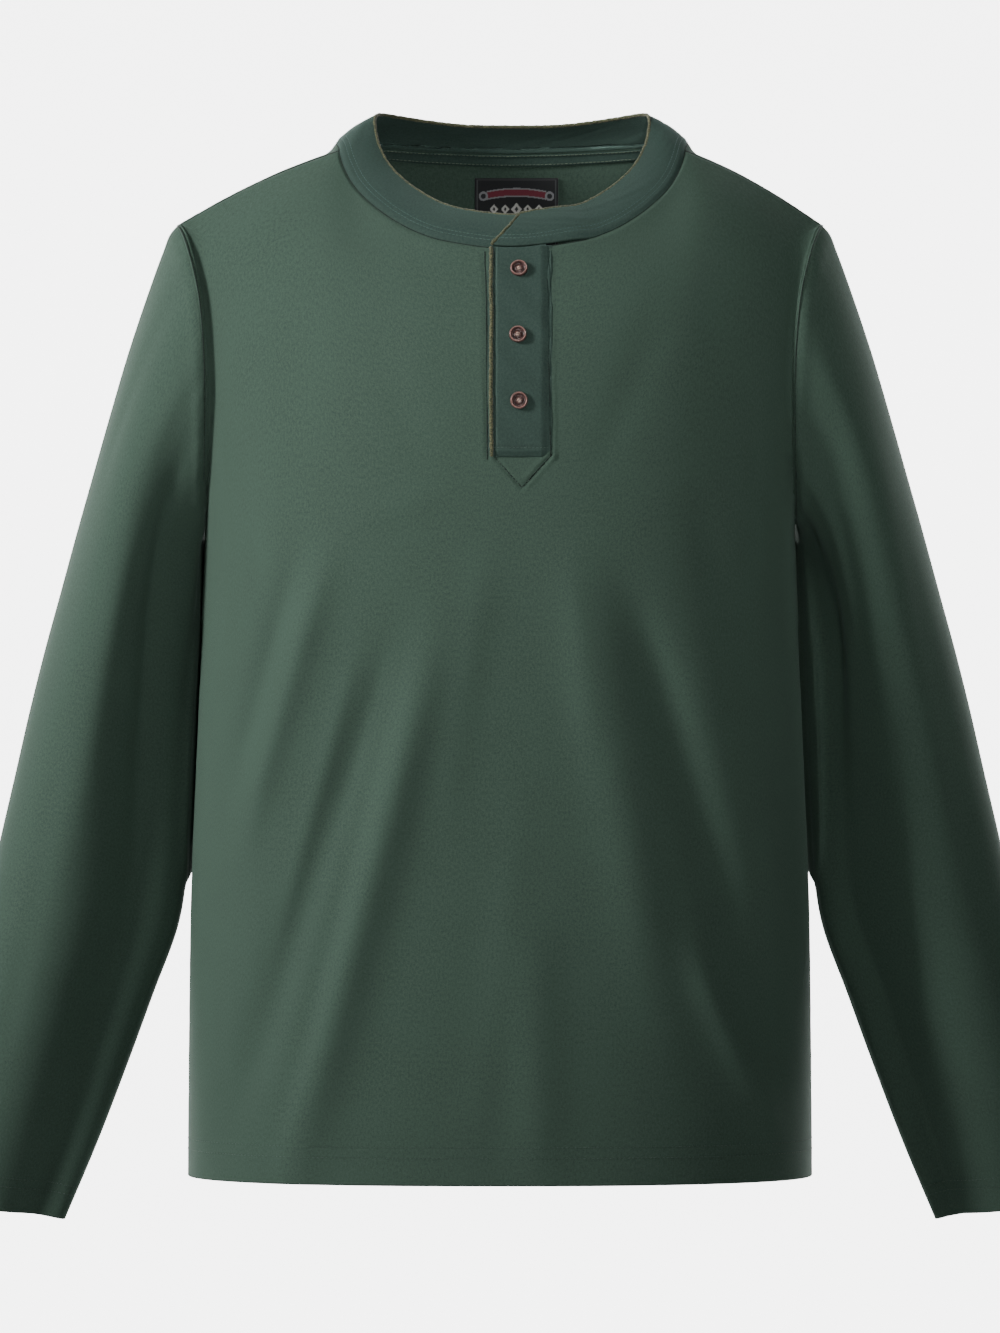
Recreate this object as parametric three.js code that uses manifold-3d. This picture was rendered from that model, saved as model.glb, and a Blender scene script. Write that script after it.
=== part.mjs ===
// Henley shirt in jersey, filled out as if worn, with nobody in it.
// Millimetres. x runs to the wearer's left, y to the back, z up.
// The origin is the middle of the shoulders, level with the highest points of the neck seam.
import * as THREE from "three";
import { mergeVertices } from "three/addons/utils/BufferGeometryUtils.js";
import Module from "manifold-3d";

// Driving sizes
const CLOTH = 1.4; // wall of the jersey panels
const BAND = 1.6; // wall of the neckband and the placket strips
const SEAM_GAP = 0.3; // space between two pieces that are sewn together
const ARMHOLE_GAP = 0.6; // a little more where a sleeve is set in, because the walls turn there
const HEM_Z = -687;
const CHEST_Z = -256; // level of the underarm points
const SIDE_DROP = 80; // how far the yoke's lower limit sinks towards the side seam
const NECK_SHIFT = 8; // the neck sits a little to the wearer's left
const RISE_SHARE = 0.52; // share of its length for which a column of the yoke keeps rising straight
const SECTION_POWER = 2.4; // 2 is an ellipse, more is squarer

// Grid counts
const NECK_FRONT = 10;
const NECK_BACK = 8;
const SHOULDER = 4;
const ARMHOLE = 9;
const BODY_ROWS = 9;
const YOKE_ROWS = 10;
const YOKE_START = BODY_ROWS / (BODY_ROWS + YOKE_ROWS);
const YOKE_EASE = 8; // rounds of easing that leave the cloth of the yoke without ridges

// How far round the half section at the chest the columns of the neck corner and shoulder tip stand
const NECK_SHARE = 0.45;
const TIP_SHARE = 0.61;
const SHARE_POWER = 1.15; // above 1 the columns of the armhole stand closer to the tip's

// The back stands up behind the shoulder seam: how much at each edge place, and at rows below the seam
const SHOULDER_LIFT = [
  { edge: 5, rise: 0 },
  { edge: 6, rise: 2 },
  { edge: 8, rise: 5.5 },
  { edge: 9, rise: 6 },
  { edge: 11, rise: 4.5 },
  { edge: 12, rise: 3 },
  { edge: 14, rise: 0 },
];
const LIFT_BY_ROW = [
  { below: 0, share: 0 },
  { below: 1, share: 0.85 },
  { below: 2, share: 1 },
  { below: 3, share: 0.8 },
  { below: 5, share: 0.3 },
  { below: 7, share: 0 },
];

// Torso sections from the hem up: half the width, and how far front and back stand off the side seams
const BODY = [
  { z: -690, half: 207.5, front: 120, back: 114 },
  { z: -600, half: 206.8, front: 118, back: 110 },
  { z: -500, half: 205.3, front: 116, back: 105 },
  { z: -400, half: 201.2, front: 117, back: 104 },
  { z: -320, half: 198, front: 119, back: 108 },
  { z: -250, half: 195.8, front: 119, back: 112 },
];

// Neck seam and the band's top edge, half a ring from centre front to centre back
const NECK = [
  { seamX: 0, seamY: -84, seamZ: -76.5, topX: 0, topY: -62, topZ: -53.4 },
  { seamX: 41, seamY: -80, seamZ: -71.5, topX: 30, topY: -58.5, topZ: -50 },
  { seamX: 62, seamY: -73.5, seamZ: -65, topX: 47, topY: -52.5, topZ: -45 },
  { seamX: 80, seamY: -64, seamZ: -55, topX: 61, topY: -44, topZ: -37 },
  { seamX: 95, seamY: -52, seamZ: -43, topX: 72.5, topY: -35, topZ: -28 },
  { seamX: 105.5, seamY: -39, seamZ: -31, topX: 82, topY: -24.5, topZ: -17.5 },
  { seamX: 112, seamY: -25, seamZ: -18, topX: 88.5, topY: -14, topZ: -5 },
  { seamX: 115.5, seamY: -12, seamZ: -7, topX: 91.5, topY: -4, topZ: 7 },
  { seamX: 118, seamY: 3, seamZ: -1.5, topX: 92, topY: 6, topZ: 16 },
  { seamX: 115.5, seamY: 18, seamZ: 0, topX: 88, topY: 17, topZ: 18.5 },
  { seamX: 103, seamY: 34, seamZ: -0.5, topX: 76.5, topY: 28, topZ: 17.5 },
  { seamX: 80, seamY: 45.5, seamZ: -1.5, topX: 57, topY: 36, topZ: 15 },
  { seamX: 45, seamY: 54, seamZ: -3, topX: 32, topY: 40.5, topZ: 12.5 },
  { seamX: 0, seamY: 57, seamZ: -4, topX: 0, topY: 42, topZ: 12 },
];
const SHOULDER_ROW = 7; // the row where the shoulder seam meets the neck
const SHOULDER_BOW = 4; // the shoulder seam is a little convex

// Armhole from the shoulder tip down to the underarm point, along the front and along the back
const ARMHOLE_EDGE = [
  { z: -56, frontX: 214, frontY: -6, backX: 214, backY: -6 },
  { z: -63, frontX: 209, frontY: -23, backX: 212.5, backY: 12 },
  { z: -80, frontX: 203, frontY: -39, backX: 209.5, backY: 31 },
  { z: -106, frontX: 197, frontY: -51, backX: 206, backY: 46 },
  { z: -139, frontX: 193.8, frontY: -57, backX: 203, backY: 55 },
  { z: -173, frontX: 193, frontY: -58, backX: 201, backY: 58 },
  { z: -206, frontX: 193.5, frontY: -52, backX: 199, backY: 54 },
  { z: -233, frontX: 194.5, frontY: -39, backX: 197.5, backY: 41 },
  { z: -250, frontX: 195.5, frontY: -21, backX: 196.5, backY: 22 },
  { z: -256, frontX: 196, frontY: 0, backX: 196, backY: 0 },
];
const ARMHOLE_CENTRE = new THREE.Vector3(197, 0, -156);

// Which way a panel's upright threads run where they end at the neck, shoulder and armhole,
// and for how long they hold that way. The edge place counts grid columns from the centre line.
const FRONT_LEAN = [
  { edge: 0, x: 0, y: 0.45, z: 0.89, hold: 75 },
  { edge: 6, x: -0.2, y: 0.62, z: 0.74, hold: 60 },
  { edge: 10, x: -0.25, y: 0.88, z: 0.32, hold: 55 },
  { edge: 14, x: 0.3, y: 0.88, z: 0.35, hold: 58 },
  { edge: 16, x: 0.45, y: 0.45, z: 0.77, hold: 38 },
  { edge: 19, x: 0.25, y: 0.05, z: 0.96, hold: 32 },
  { edge: 23, x: 0, y: 0, z: 1, hold: 10 },
];
const BACK_LEAN = [
  { edge: 0, x: 0, y: -0.52, z: 0.85, hold: 72 },
  { edge: 4, x: -0.25, y: -0.68, z: 0.62, hold: 68 },
  { edge: 6, x: -0.22, y: -0.85, z: 0.3, hold: 62 },
  { edge: 8, x: -0.3, y: -0.93, z: -0.05, hold: 62 },
  { edge: 12, x: 0.1, y: -0.97, z: -0.15, hold: 66 },
  { edge: 14, x: 0.5, y: -0.45, z: 0.7, hold: 48 },
  { edge: 17, x: 0.4, y: -0.1, z: 0.92, hold: 42 },
  { edge: 19, x: 0.2, y: 0, z: 1, hold: 20 },
  { edge: 21, x: 0, y: 0, z: 1, hold: 10 },
];

// Sleeve rings from the armhole to the cuff: outer edge, inner edge, half the depth, middle in y
const SLEEVE = [
  { outerX: 214, outerZ: -56, innerX: 196, innerZ: -256, depth: 58, midY: 0 },
  { outerX: 222, outerZ: -70, innerX: 198, innerZ: -258.5, depth: 59, midY: 1 },
  { outerX: 233, outerZ: -99, innerX: 199.3, innerZ: -263, depth: 60, midY: 3 },
  { outerX: 247, outerZ: -140, innerX: 200.5, innerZ: -271, depth: 61, midY: 6 },
  { outerX: 259, outerZ: -180, innerX: 201.5, innerZ: -283, depth: 62, midY: 9 },
  { outerX: 270.5, outerZ: -220, innerX: 202.3, innerZ: -299, depth: 62, midY: 12 },
  { outerX: 282, outerZ: -260, innerX: 203.1, innerZ: -321, depth: 61, midY: 15 },
  { outerX: 293, outerZ: -300, innerX: 203.9, innerZ: -348, depth: 59, midY: 17 },
  { outerX: 304, outerZ: -340, innerX: 204.6, innerZ: -379, depth: 56, midY: 18 },
  { outerX: 314, outerZ: -380, innerX: 205.3, innerZ: -412, depth: 52, midY: 18 },
  { outerX: 323, outerZ: -420, innerX: 206.2, innerZ: -447, depth: 50, midY: 16 },
  { outerX: 333, outerZ: -464, innerX: 208, innerZ: -484, depth: 47, midY: 13 },
  { outerX: 343, outerZ: -510, innerX: 214, innerZ: -523, depth: 44, midY: 10 },
  { outerX: 352.5, outerZ: -557, innerX: 230, innerZ: -567, depth: 40, midY: 6 },
  { outerX: 361, outerZ: -605, innerX: 247.5, innerZ: -615, depth: 35, midY: 2 },
  { outerX: 368.5, outerZ: -655, innerX: 267, innerZ: -666, depth: 28, midY: -2 },
  { outerX: 375, outerZ: -704, innerX: 288.5, innerZ: -717, depth: 20, midY: -6 },
];
const SLEEVE_BY_RING = SLEEVE.map((section, ring) => ({ ...section, ring }));
const SLEEVE_RINGS = 22;
const CAP_FADE = 0.3; // share of the sleeve over which the armhole's own shape fades out
const TUCK = 45; // how far the sleeve's inner side could reach in behind the widest line of the torso
const TUCK_CLEAR = 2.5; // the torso stops it this far out
// Shares of the sleeve's length between which the tuck grows and then fades, and the depths that it grows over.
const TUCK_GROWS = [0.14, 0.3];
const TUCK_FADES = [0.64, 0.71];
const TUCK_DEPTHS = [-5, 35];
const CORNER_GAP = 0.6; // how far the neck corner is drawn back from the band

// Soft folds on the panels, in the front view: a rise above 0 is a ridge, below 0 a trough
const FRONT_FOLDS = [
  { fromX: -104, fromZ: -255, toX: -172, toZ: -480, width: 13, rise: 4 },
  { fromX: -62, fromZ: -305, toX: -182, toZ: -670, width: 13, rise: -4 },
  { fromX: -26, fromZ: -275, toX: -150, toZ: -730, width: 19, rise: 6.5 },
  { fromX: 42, fromZ: -250, toX: 108, toZ: -590, width: 20, rise: 4.2 },
  { fromX: 70, fromZ: -262, toX: 166, toZ: -570, width: 14, rise: -3.6 },
  { fromX: 112, fromZ: -285, toX: 188, toZ: -540, width: 20, rise: 3.5 },
  { fromX: 16, fromZ: -480, toX: 28, toZ: -700, width: 18, rise: 2.5 },
  { fromX: 114, fromZ: -510, toX: 186, toZ: -670, width: 12, rise: 3 },
  { fromX: 128, fromZ: -225, toX: 152, toZ: -330, width: 12, rise: -1.5 },
];
const BACK_FOLDS = [
  { fromX: -120, fromZ: -230, toX: -150, toZ: -600, width: 20, rise: 4 },
  { fromX: -62, fromZ: -300, toX: -78, toZ: -670, width: 24, rise: -4 },
  { fromX: 4, fromZ: -180, toX: -10, toZ: -640, width: 26, rise: 3.5 },
  { fromX: 70, fromZ: -280, toX: 84, toZ: -680, width: 22, rise: -4 },
  { fromX: 122, fromZ: -220, toX: 150, toZ: -560, width: 20, rise: 4.5 },
];
const SIDE_CALM = 0.16; // folds die out over this share of a panel next to the side seam

// Soft folds on a sleeve: place along it from 0 to 1, and degrees round it from its outer edge to the front
const SLEEVE_FOLDS = [
  { from: 0.06, to: 1.3, start: 112, end: 134, width: 28, rise: -11 },
  { from: 0.02, to: 0.5, start: 140, end: 160, width: 14, rise: 3 },
  { from: 0.42, to: 1.3, start: 118, end: 122, width: 36, rise: -4 },
  { from: 0.03, to: 0.9, start: 74, end: 66, width: 24, rise: 4 },
  { from: 0.04, to: 0.5, start: 236, end: 250, width: 18, rise: -4 },
  { from: 0.42, to: 0.56, start: 255, end: 300, width: 20, rise: -3 },
  { from: 0.6, to: 0.9, start: 280, end: 270, width: 22, rise: 2.5 },
];

// Placket, buttons, tape and label
const PLACKET_RIGHT_X = -8.5; // seam of the lower strip
const PLACKET_EDGE_X = -4.6; // free edge of the upper strip
const PLACKET_LEFT_X = 33; // seam of the upper strip
const PLACKET_FOOT_Z = -211;
const PLACKET_LAP = 2.5; // how far the upper strip passes the foot of the slot
const SLOT_DEPTH = 160;
const SLOT_BEHIND = 20; // the cut stays this far in front of the shoulders' line, clear of the back
const STRIP_COLUMNS = 4;
const STRIP_ROWS = 10;
const BUTTONS = [
  { x: 12.4, z: -90.5 },
  { x: 11.6, z: -134.2 },
  { x: 12.4, z: -177.2 },
];
const BUTTON_RADIUS = 5.8;
const BUTTON_HEIGHT = 2.8;
const BUTTON_SIDES = 20;
const ROLL_RADIUS = 1.1;
const ROLL_CLEAR = 0.85; // the bead's clearance over the band's edge
const ROLL_SIDES = 6;
const NECK_ROLL_PLACES = 60;
const CUT_ROLL_PLACES = 4;
const NECK_ROLL_STEPS = 76;
const PLACKET_ROLL_STEPS = 20;
const TAPE_WIDTH = 9;
const TAPE_TOP = 0.8; // below the neck seam
const TAPE_COLUMNS = 5; // it runs this many columns of the back to each side
const TAPE_LIFT = 1.2;
const TAPE_THICKNESS = 1;
const STRIP_TOP_GAP = 0.9; // the strips end this far below the neck seam
const STRIP_LIFT = 0.4; // clearance of the upper strip over what it lies on
const SEAM_LAP = 1.5; // the upper strip passes its seam by this much
const LABEL = { left: -16.8, right: 39, top: -21, foot: -69, thickness: 0.8 };
const LABEL_COLUMNS = 5;
const LABEL_ROWS = 4;
const IN_FRONT = -300; // y of a place well in front of the shirt
const INSIDE = -1; // y of a place inside it

// Band ends, counted in rows of the neck ring from centre front round the wearer's right side
const FULL_RING = 2 * (NECK.length - 1);
const UNDER_END = -0.5;
const OVER_END_FOOT = 0.3;
const OVER_END_TOP = -0.2;
const LAP_STEP = 2.7; // how far the upper end stands in front of the lower one
const LAP_EASE = 1.1; // rows over which it steps out
const LAP_FULL_AT = FULL_RING + UNDER_END - 0.3;
const LAP_CLEAR = 1.2; // the lapped end stands this much above the panel's edge
const BAND_BULGE = 1.6;
const BAND_ROWS = 3;
const END_CROWDING = 0.06; // spacing of the columns that are drawn in to the upper end

const finish = (colour, roughness) =>
  new THREE.MeshStandardMaterial({ color: colour, roughness, metalness: 0, side: THREE.DoubleSide });
const JERSEY = finish(0x3b4a42, 0.92);
const BAND_JERSEY = finish(0x3c5249, 0.9);
const ROLLED_EDGE = finish(0x6b6f52, 0.95);
const WOVEN = finish(0x17191a, 0.8);
const HORN = finish(0x5a3a34, 0.45);

const steps = (from, to, count) =>
  Array.from({ length: count + 1 }, (_, i) => THREE.MathUtils.lerp(from, to, i / count));
const clamp01 = (value) => THREE.MathUtils.clamp(value, 0, 1);
const smooth = THREE.MathUtils.smoothstep;
const wrapped = (place, round) => (((place / round) % 1) + 1) % 1;

// A named column of a table, read between its rows on a smooth line
function sample(table, key, at, name) {
  let i = 0;
  while (i < table.length - 2 && at > table[i + 1][key]) i += 1;
  const slope = (k) => {
    const before = table[Math.max(k - 1, 0)];
    const after = table[Math.min(k + 1, table.length - 1)];
    return (after[name] - before[name]) / (after[key] - before[key]);
  };
  const step = table[i + 1][key] - table[i][key];
  const t = clamp01((at - table[i][key]) / step);
  const rise = table[i + 1][name] - table[i][name];
  const a = slope(i) * step - rise;
  const b = rise - slope(i + 1) * step;
  return table[i][name] + rise * t + t * (1 - t) * (a * (1 - t) + b * t);
}

// A closed ring through half a ring of rows and its mirror image, read by row number
function ringFrom(rows) {
  const mirrored = rows.slice(1, -1).reverse();
  const points = [...rows.map((row) => row(-1)), ...mirrored.map((row) => row(1))];
  const curve = new THREE.CatmullRomCurve3(points, true, "catmullrom", 0.5);
  return (row) => curve.getPoint(wrapped(row, points.length));
}

const neckSeam = ringFrom(
  NECK.map((row) => (side) => new THREE.Vector3(side * row.seamX + NECK_SHIFT, row.seamY, row.seamZ)),
);
const bandTop = ringFrom(
  NECK.map((row) => (side) => new THREE.Vector3(side * row.topX + NECK_SHIFT, row.topY, row.topZ)),
);

// The armhole as a closed loop: 0 at the shoulder tip, ARMHOLE at the underarm, then up the back
const armholeCurve = new THREE.CatmullRomCurve3(
  [
    ...ARMHOLE_EDGE.map((row) => new THREE.Vector3(row.frontX, row.frontY, row.z)),
    ...ARMHOLE_EDGE.slice(1, -1)
      .reverse()
      .map((row) => new THREE.Vector3(row.backX, row.backY, row.z)),
  ],
  true,
  "catmullrom",
  0.5,
);
const armholePoint = (place) => armholeCurve.getPoint(wrapped(place, 2 * ARMHOLE));

// The direction out of the sleeve at a place of the armhole, square to its edge
function armholeNormal(place) {
  const along = armholePoint(place + 0.05).sub(armholePoint(place - 0.05)).normalize();
  const out = armholePoint(place).sub(ARMHOLE_CENTRE);
  return out.addScaledVector(along, -out.dot(along)).normalize();
}

// The two panels share their rules. A face says how its columns end at the top
const FRONT = { sign: -1, depth: "front", neck: NECK_FRONT, lean: FRONT_LEAN, folds: FRONT_FOLDS };
const BACK = { sign: 1, depth: "back", neck: NECK_BACK, lean: BACK_LEAN, folds: BACK_FOLDS };
const columnsOf = (face) => face.neck + SHOULDER + ARMHOLE;

// Top edge of a panel, on the wearer's left for side 1: neck, then shoulder, then armhole
function panelTop(face, side, edge) {
  const mirror = (p) => p.set(side * p.x, p.y, p.z);
  const neckRows = face === FRONT ? SHOULDER_ROW : SHOULDER_ROW - (NECK.length - 1);
  const centreRow = face === FRONT ? 0 : NECK.length - 1;
  if (edge <= face.neck) return neckSeam(centreRow - (side * neckRows * edge) / face.neck);
  if (edge <= face.neck + SHOULDER) {
    const t = (edge - face.neck) / SHOULDER;
    const seam = neckSeam(-side * SHOULDER_ROW).lerp(mirror(armholePoint(0)), t);
    seam.z += SHOULDER_BOW * Math.sin(Math.PI * t);
    return seam;
  }
  return mirror(armholePoint(-face.sign * (edge - face.neck - SHOULDER)));
}

// How far round the half section a column stands at the chest: 0 at the centre, 1 at the side
function shareOf(face, edge) {
  if (edge <= face.neck) return (NECK_SHARE * edge) / face.neck;
  const pastNeck = (edge - face.neck) / SHOULDER;
  if (pastNeck <= 1) return THREE.MathUtils.lerp(NECK_SHARE, TIP_SHARE, pastNeck);
  const pastTip = (edge - face.neck - SHOULDER) / ARMHOLE;
  return THREE.MathUtils.lerp(TIP_SHARE, 1, pastTip ** SHARE_POWER);
}

function sectionPoint(face, side, share, z) {
  const angle = (share * Math.PI) / 2;
  const half = sample(BODY, "z", z, "half");
  const depth = sample(BODY, "z", z, face.depth);
  const x = side * half * Math.sin(angle) ** (2 / SECTION_POWER);
  const y = face.sign * depth * Math.max(Math.cos(angle), 0) ** (2 / SECTION_POWER);
  return new THREE.Vector3(x, y, z);
}

// A point of a panel without its folds: level 0 is the hem, 1 the top edge
function panelPoint(face, side, edge, level) {
  const share = shareOf(face, edge);
  const yokeZ = CHEST_Z - SIDE_DROP * smooth(share, 0.5, 1);
  const centring = NECK_SHIFT * (1 - share) ** 2 * smooth(level, 0, YOKE_START);
  if (level <= YOKE_START) {
    const low = sectionPoint(face, side, share, THREE.MathUtils.lerp(HEM_Z, yokeZ, level / YOKE_START));
    low.x += centring;
    return low;
  }
  const start = sectionPoint(face, side, share, yokeZ);
  start.x += NECK_SHIFT * (1 - share) ** 2;
  const end = panelTop(face, side, edge);
  const reach = start.distanceTo(end);
  const lean = new THREE.Vector3(
    side * sample(face.lean, "edge", edge, "x"),
    sample(face.lean, "edge", edge, "y"),
    sample(face.lean, "edge", edge, "z"),
  ).normalize();
  const rise = start.clone().add(new THREE.Vector3(0, 0, RISE_SHARE * reach));
  const arrive = end.clone().addScaledVector(lean, -sample(face.lean, "edge", edge, "hold"));
  const path = new THREE.CubicBezierCurve3(start, rise, arrive, end);
  return path.getPoint((level - YOKE_START) / (1 - YOKE_START));
}

// Height of the folds at a place of the front view
function foldHeight(folds, x, z) {
  let height = 0;
  for (const fold of folds) {
    const runX = fold.toX - fold.fromX;
    const runZ = fold.toZ - fold.fromZ;
    const along = ((x - fold.fromX) * runX + (z - fold.fromZ) * runZ) / (runX ** 2 + runZ ** 2);
    const t = clamp01(along);
    const gap = Math.hypot(x - fold.fromX - t * runX, z - fold.fromZ - t * runZ);
    const fade = smooth(t, 0, 0.35) * (1 - 0.8 * smooth(t, 0.7, 1));
    height += fold.rise * fade * Math.exp(-((gap / fold.width) ** 2));
  }
  return height;
}

// Outward direction at each point of a grid, from its neighbours
function gridNormals(grid, wrap) {
  const rows = grid.length;
  const columns = grid[0].length;
  return grid.map((row, j) =>
    row.map((_, i) => {
      const left = wrap ? (i + columns - 1) % columns : Math.max(i - 1, 0);
      const right = wrap ? (i + 1) % columns : Math.min(i + 1, columns - 1);
      const across = row[right].clone().sub(row[left]);
      const up = grid[Math.min(j + 1, rows - 1)][i].clone().sub(grid[Math.max(j - 1, 0)][i]);
      return across.cross(up).normalize();
    }),
  );
}

// Moves the points inside a grid towards the middle of their neighbours, its rims staying where they are
function ease(grid, fromRow, rounds) {
  for (let round = 0; round < rounds; round += 1) {
    const before = grid.map((row) => row.map((point) => point.clone()));
    for (let j = fromRow; j < grid.length - 1; j += 1) {
      for (let i = 1; i < grid[j].length - 1; i += 1) {
        const sum = before[j][i - 1].clone().add(before[j][i + 1]);
        sum.add(before[j - 1][i]).add(before[j + 1][i]);
        grid[j][i].lerp(sum.divideScalar(4), 0.5);
      }
    }
  }
}

function liftShoulders(grid) {
  const last = grid.length - 1;
  const columns = columnsOf(BACK);
  grid.forEach((row, j) =>
    row.forEach((point, i) => {
      const rise = sample(SHOULDER_LIFT, "edge", Math.abs(i - columns), "rise");
      point.z += Math.max(rise, 0) * Math.max(sample(LIFT_BY_ROW, "below", last - j, "share"), 0);
    }),
  );
}

// A grid of outer points runs left to right as seen from outside, and upwards
function panelGrid(face) {
  const columns = columnsOf(face);
  const rows = BODY_ROWS + YOKE_ROWS;
  const grid = [];
  for (let j = 0; j <= rows; j += 1) {
    const row = [];
    for (let i = -columns; i <= columns; i += 1) {
      const side = -face.sign * Math.sign(i);
      row.push(panelPoint(face, side || 1, Math.abs(i), j / rows));
    }
    grid.push(row);
  }
  ease(grid, BODY_ROWS, YOKE_EASE);
  if (face === BACK) liftShoulders(grid);
  const normals = gridNormals(grid, false);
  grid.forEach((row, j) =>
    row.forEach((point, i) => {
      const share = shareOf(face, Math.abs(i - columns));
      const calm = 1 - smooth(share, 1 - SIDE_CALM, 1);
      point.addScaledVector(normals[j][i], calm * foldHeight(face.folds, point.x, point.z));
    }),
  );
  return grid;
}

// How far out the torso's side stands at a depth and height
function torsoSide(y, z) {
  const depth = sample(BODY, "z", z, y < 0 ? "front" : "back");
  const inside = 1 - Math.min(Math.abs(y) / depth, 1) ** SECTION_POWER;
  return sample(BODY, "z", z, "half") * inside ** (1 / SECTION_POWER);
}

// The sleeve on the wearer's left: rings from the armhole to the cuff
function sleevePoint(along, turn) {
  const row = along * (SLEEVE.length - 1);
  const at = (name) => sample(SLEEVE_BY_RING, "ring", row, name);
  const angle = (turn * Math.PI) / ARMHOLE;
  const outer = new THREE.Vector3(at("outerX"), at("midY"), at("outerZ"));
  const inner = new THREE.Vector3(at("innerX"), at("midY"), at("innerZ"));
  const point = inner.lerp(outer, 0.5 + 0.5 * Math.cos(angle));
  point.y -= at("depth") * Math.sin(angle);
  if (along < CAP_FADE) {
    const first = SLEEVE[0];
    const plain = new THREE.Vector3(first.innerX, first.midY, first.innerZ).lerp(
      new THREE.Vector3(first.outerX, first.midY, first.outerZ),
      0.5 + 0.5 * Math.cos(angle),
    );
    plain.y -= first.depth * Math.sin(angle);
    point.addScaledVector(armholePoint(turn).sub(plain), 1 - smooth(along, 0, CAP_FADE));
  }
  const kept = smooth(along, ...TUCK_GROWS) * (1 - smooth(along, ...TUCK_FADES));
  const tuck = TUCK * kept * smooth(point.y, ...TUCK_DEPTHS);
  if (tuck > 0) {
    const reached = point.x - tuck * (0.5 - 0.5 * Math.cos(angle));
    point.x = Math.min(point.x, Math.max(reached, torsoSide(point.y, point.z) + TUCK_CLEAR));
  }
  return point;
}

function sleeveFold(along, turn) {
  const degrees = (turn * 180) / ARMHOLE;
  let height = 0;
  for (const fold of SLEEVE_FOLDS) {
    const t = (along - fold.from) / (fold.to - fold.from);
    const off = Math.abs(degrees - THREE.MathUtils.lerp(fold.start, fold.end, t));
    const gap = Math.min(off, 360 - off) / fold.width;
    height += fold.rise * smooth(t, 0, 0.3) * (1 - smooth(t, 0.6, 1)) * Math.exp(-(gap ** 2));
  }
  return height;
}

// Sleeve grid for one side. On the wearer's right it is the mirror image, with its columns reversed
function sleeveGrid(side) {
  const turns = 2 * ARMHOLE;
  const grid = [];
  for (let j = 0; j <= SLEEVE_RINGS; j += 1) {
    grid.push(Array.from({ length: turns }, (_, i) => sleevePoint(1 - j / SLEEVE_RINGS, -i)));
  }
  const normals = gridNormals(grid, true);
  grid.forEach((row, j) =>
    row.forEach((point, i) => {
      const along = 1 - j / SLEEVE_RINGS;
      point.addScaledVector(normals[j][i], sleeveFold(along, (turns - i) % turns));
    }),
  );
  if (side > 0) return grid;
  return grid.map((row) => row.map((p) => new THREE.Vector3(-p.x, p.y, p.z)).reverse());
}

// A closed wall between a grid of outer points and the same grid moved inwards
function wallSolid(grid, normals, thickness, wrap) {
  const rows = grid.length;
  const columns = grid[0].length;
  const positions = [];
  const inwards = (point, j, i) => point.clone().addScaledVector(normals[j][i], -thickness);
  const inner = grid.map((row, j) => row.map((point, i) => inwards(point, j, i)));
  const quad = (a, b, c, d) => [a, b, c, a, c, d].forEach((p) => positions.push(p.x, p.y, p.z));
  const spans = wrap ? columns : columns - 1;
  for (let i = 0; i < spans; i += 1) {
    const k = (i + 1) % columns;
    for (let j = 0; j < rows - 1; j += 1) {
      quad(grid[j][i], grid[j][k], grid[j + 1][k], grid[j + 1][i]);
      quad(inner[j][i], inner[j + 1][i], inner[j + 1][k], inner[j][k]);
    }
    quad(inner[0][i], inner[0][k], grid[0][k], grid[0][i]);
    quad(grid[rows - 1][i], grid[rows - 1][k], inner[rows - 1][k], inner[rows - 1][i]);
  }
  for (let j = 0; j < rows - 1 && !wrap; j += 1) {
    quad(inner[j][0], grid[j][0], grid[j + 1][0], inner[j + 1][0]);
    quad(grid[j][columns - 1], inner[j][columns - 1], inner[j + 1][columns - 1], grid[j + 1][columns - 1]);
  }
  const geometry = new THREE.BufferGeometry();
  geometry.setAttribute("position", new THREE.Float32BufferAttribute(positions, 3));
  return geometry;
}

// Rows of panel, band and sleeve points that meet at a seam get one common outward direction
function shareNormals(pieces) {
  const borders = [];
  for (const { grid, normals } of pieces) {
    grid.forEach((row, j) =>
      row.forEach((point, i) => {
        const rim = j === 0 || j === grid.length - 1 || i === 0 || i === row.length - 1;
        if (rim) borders.push({ point, normal: normals[j][i] });
      }),
    );
  }
  const common = borders.map(({ point }) => {
    const sum = new THREE.Vector3();
    for (const other of borders) {
      if (other.point.distanceTo(point) < 0.01) sum.add(other.normal);
    }
    return sum.normalize();
  });
  borders.forEach(({ normal }, index) => normal.copy(common[index]));
}

// Draws the chosen rims of a grid back from their seams by half a gap
function openSeams(grid, { ends, top, bottom }) {
  const half = SEAM_GAP / 2;
  const last = grid.length - 1;
  const pull = (point, inside) => point.add(inside.clone().sub(point).setLength(half));
  if (ends) {
    grid.forEach((row) => {
      const inside = [row[1].clone(), row[row.length - 2].clone()];
      pull(row[0], inside[0]);
      pull(row[row.length - 1], inside[1]);
    });
  }
  grid[0].forEach((_, i) => {
    if (top) pull(grid[last][i], grid[last - 1][i]);
    if (bottom) pull(grid[0][i], grid[1][i]);
  });
}

// The armhole edge of a panel or sleeve: outward directions lie in the armhole, and the gap runs along x
function setArmhole(piece, index, place, side, away, corner) {
  const row = piece.grid[piece.grid.length - 1];
  const normal = armholeNormal(place);
  piece.normals[piece.grid.length - 1][index].set(side * normal.x, normal.y, normal.z);
  const edge = armholePoint(place);
  const apart = (away * ARMHOLE_GAP) / 2;
  row[index].set(side * (edge.x + apart), edge.y + (corner * SEAM_GAP) / 2, edge.z);
}

function pieceOf(grid, wrap) {
  return { grid, normals: gridNormals(grid, wrap), wrap };
}

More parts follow.
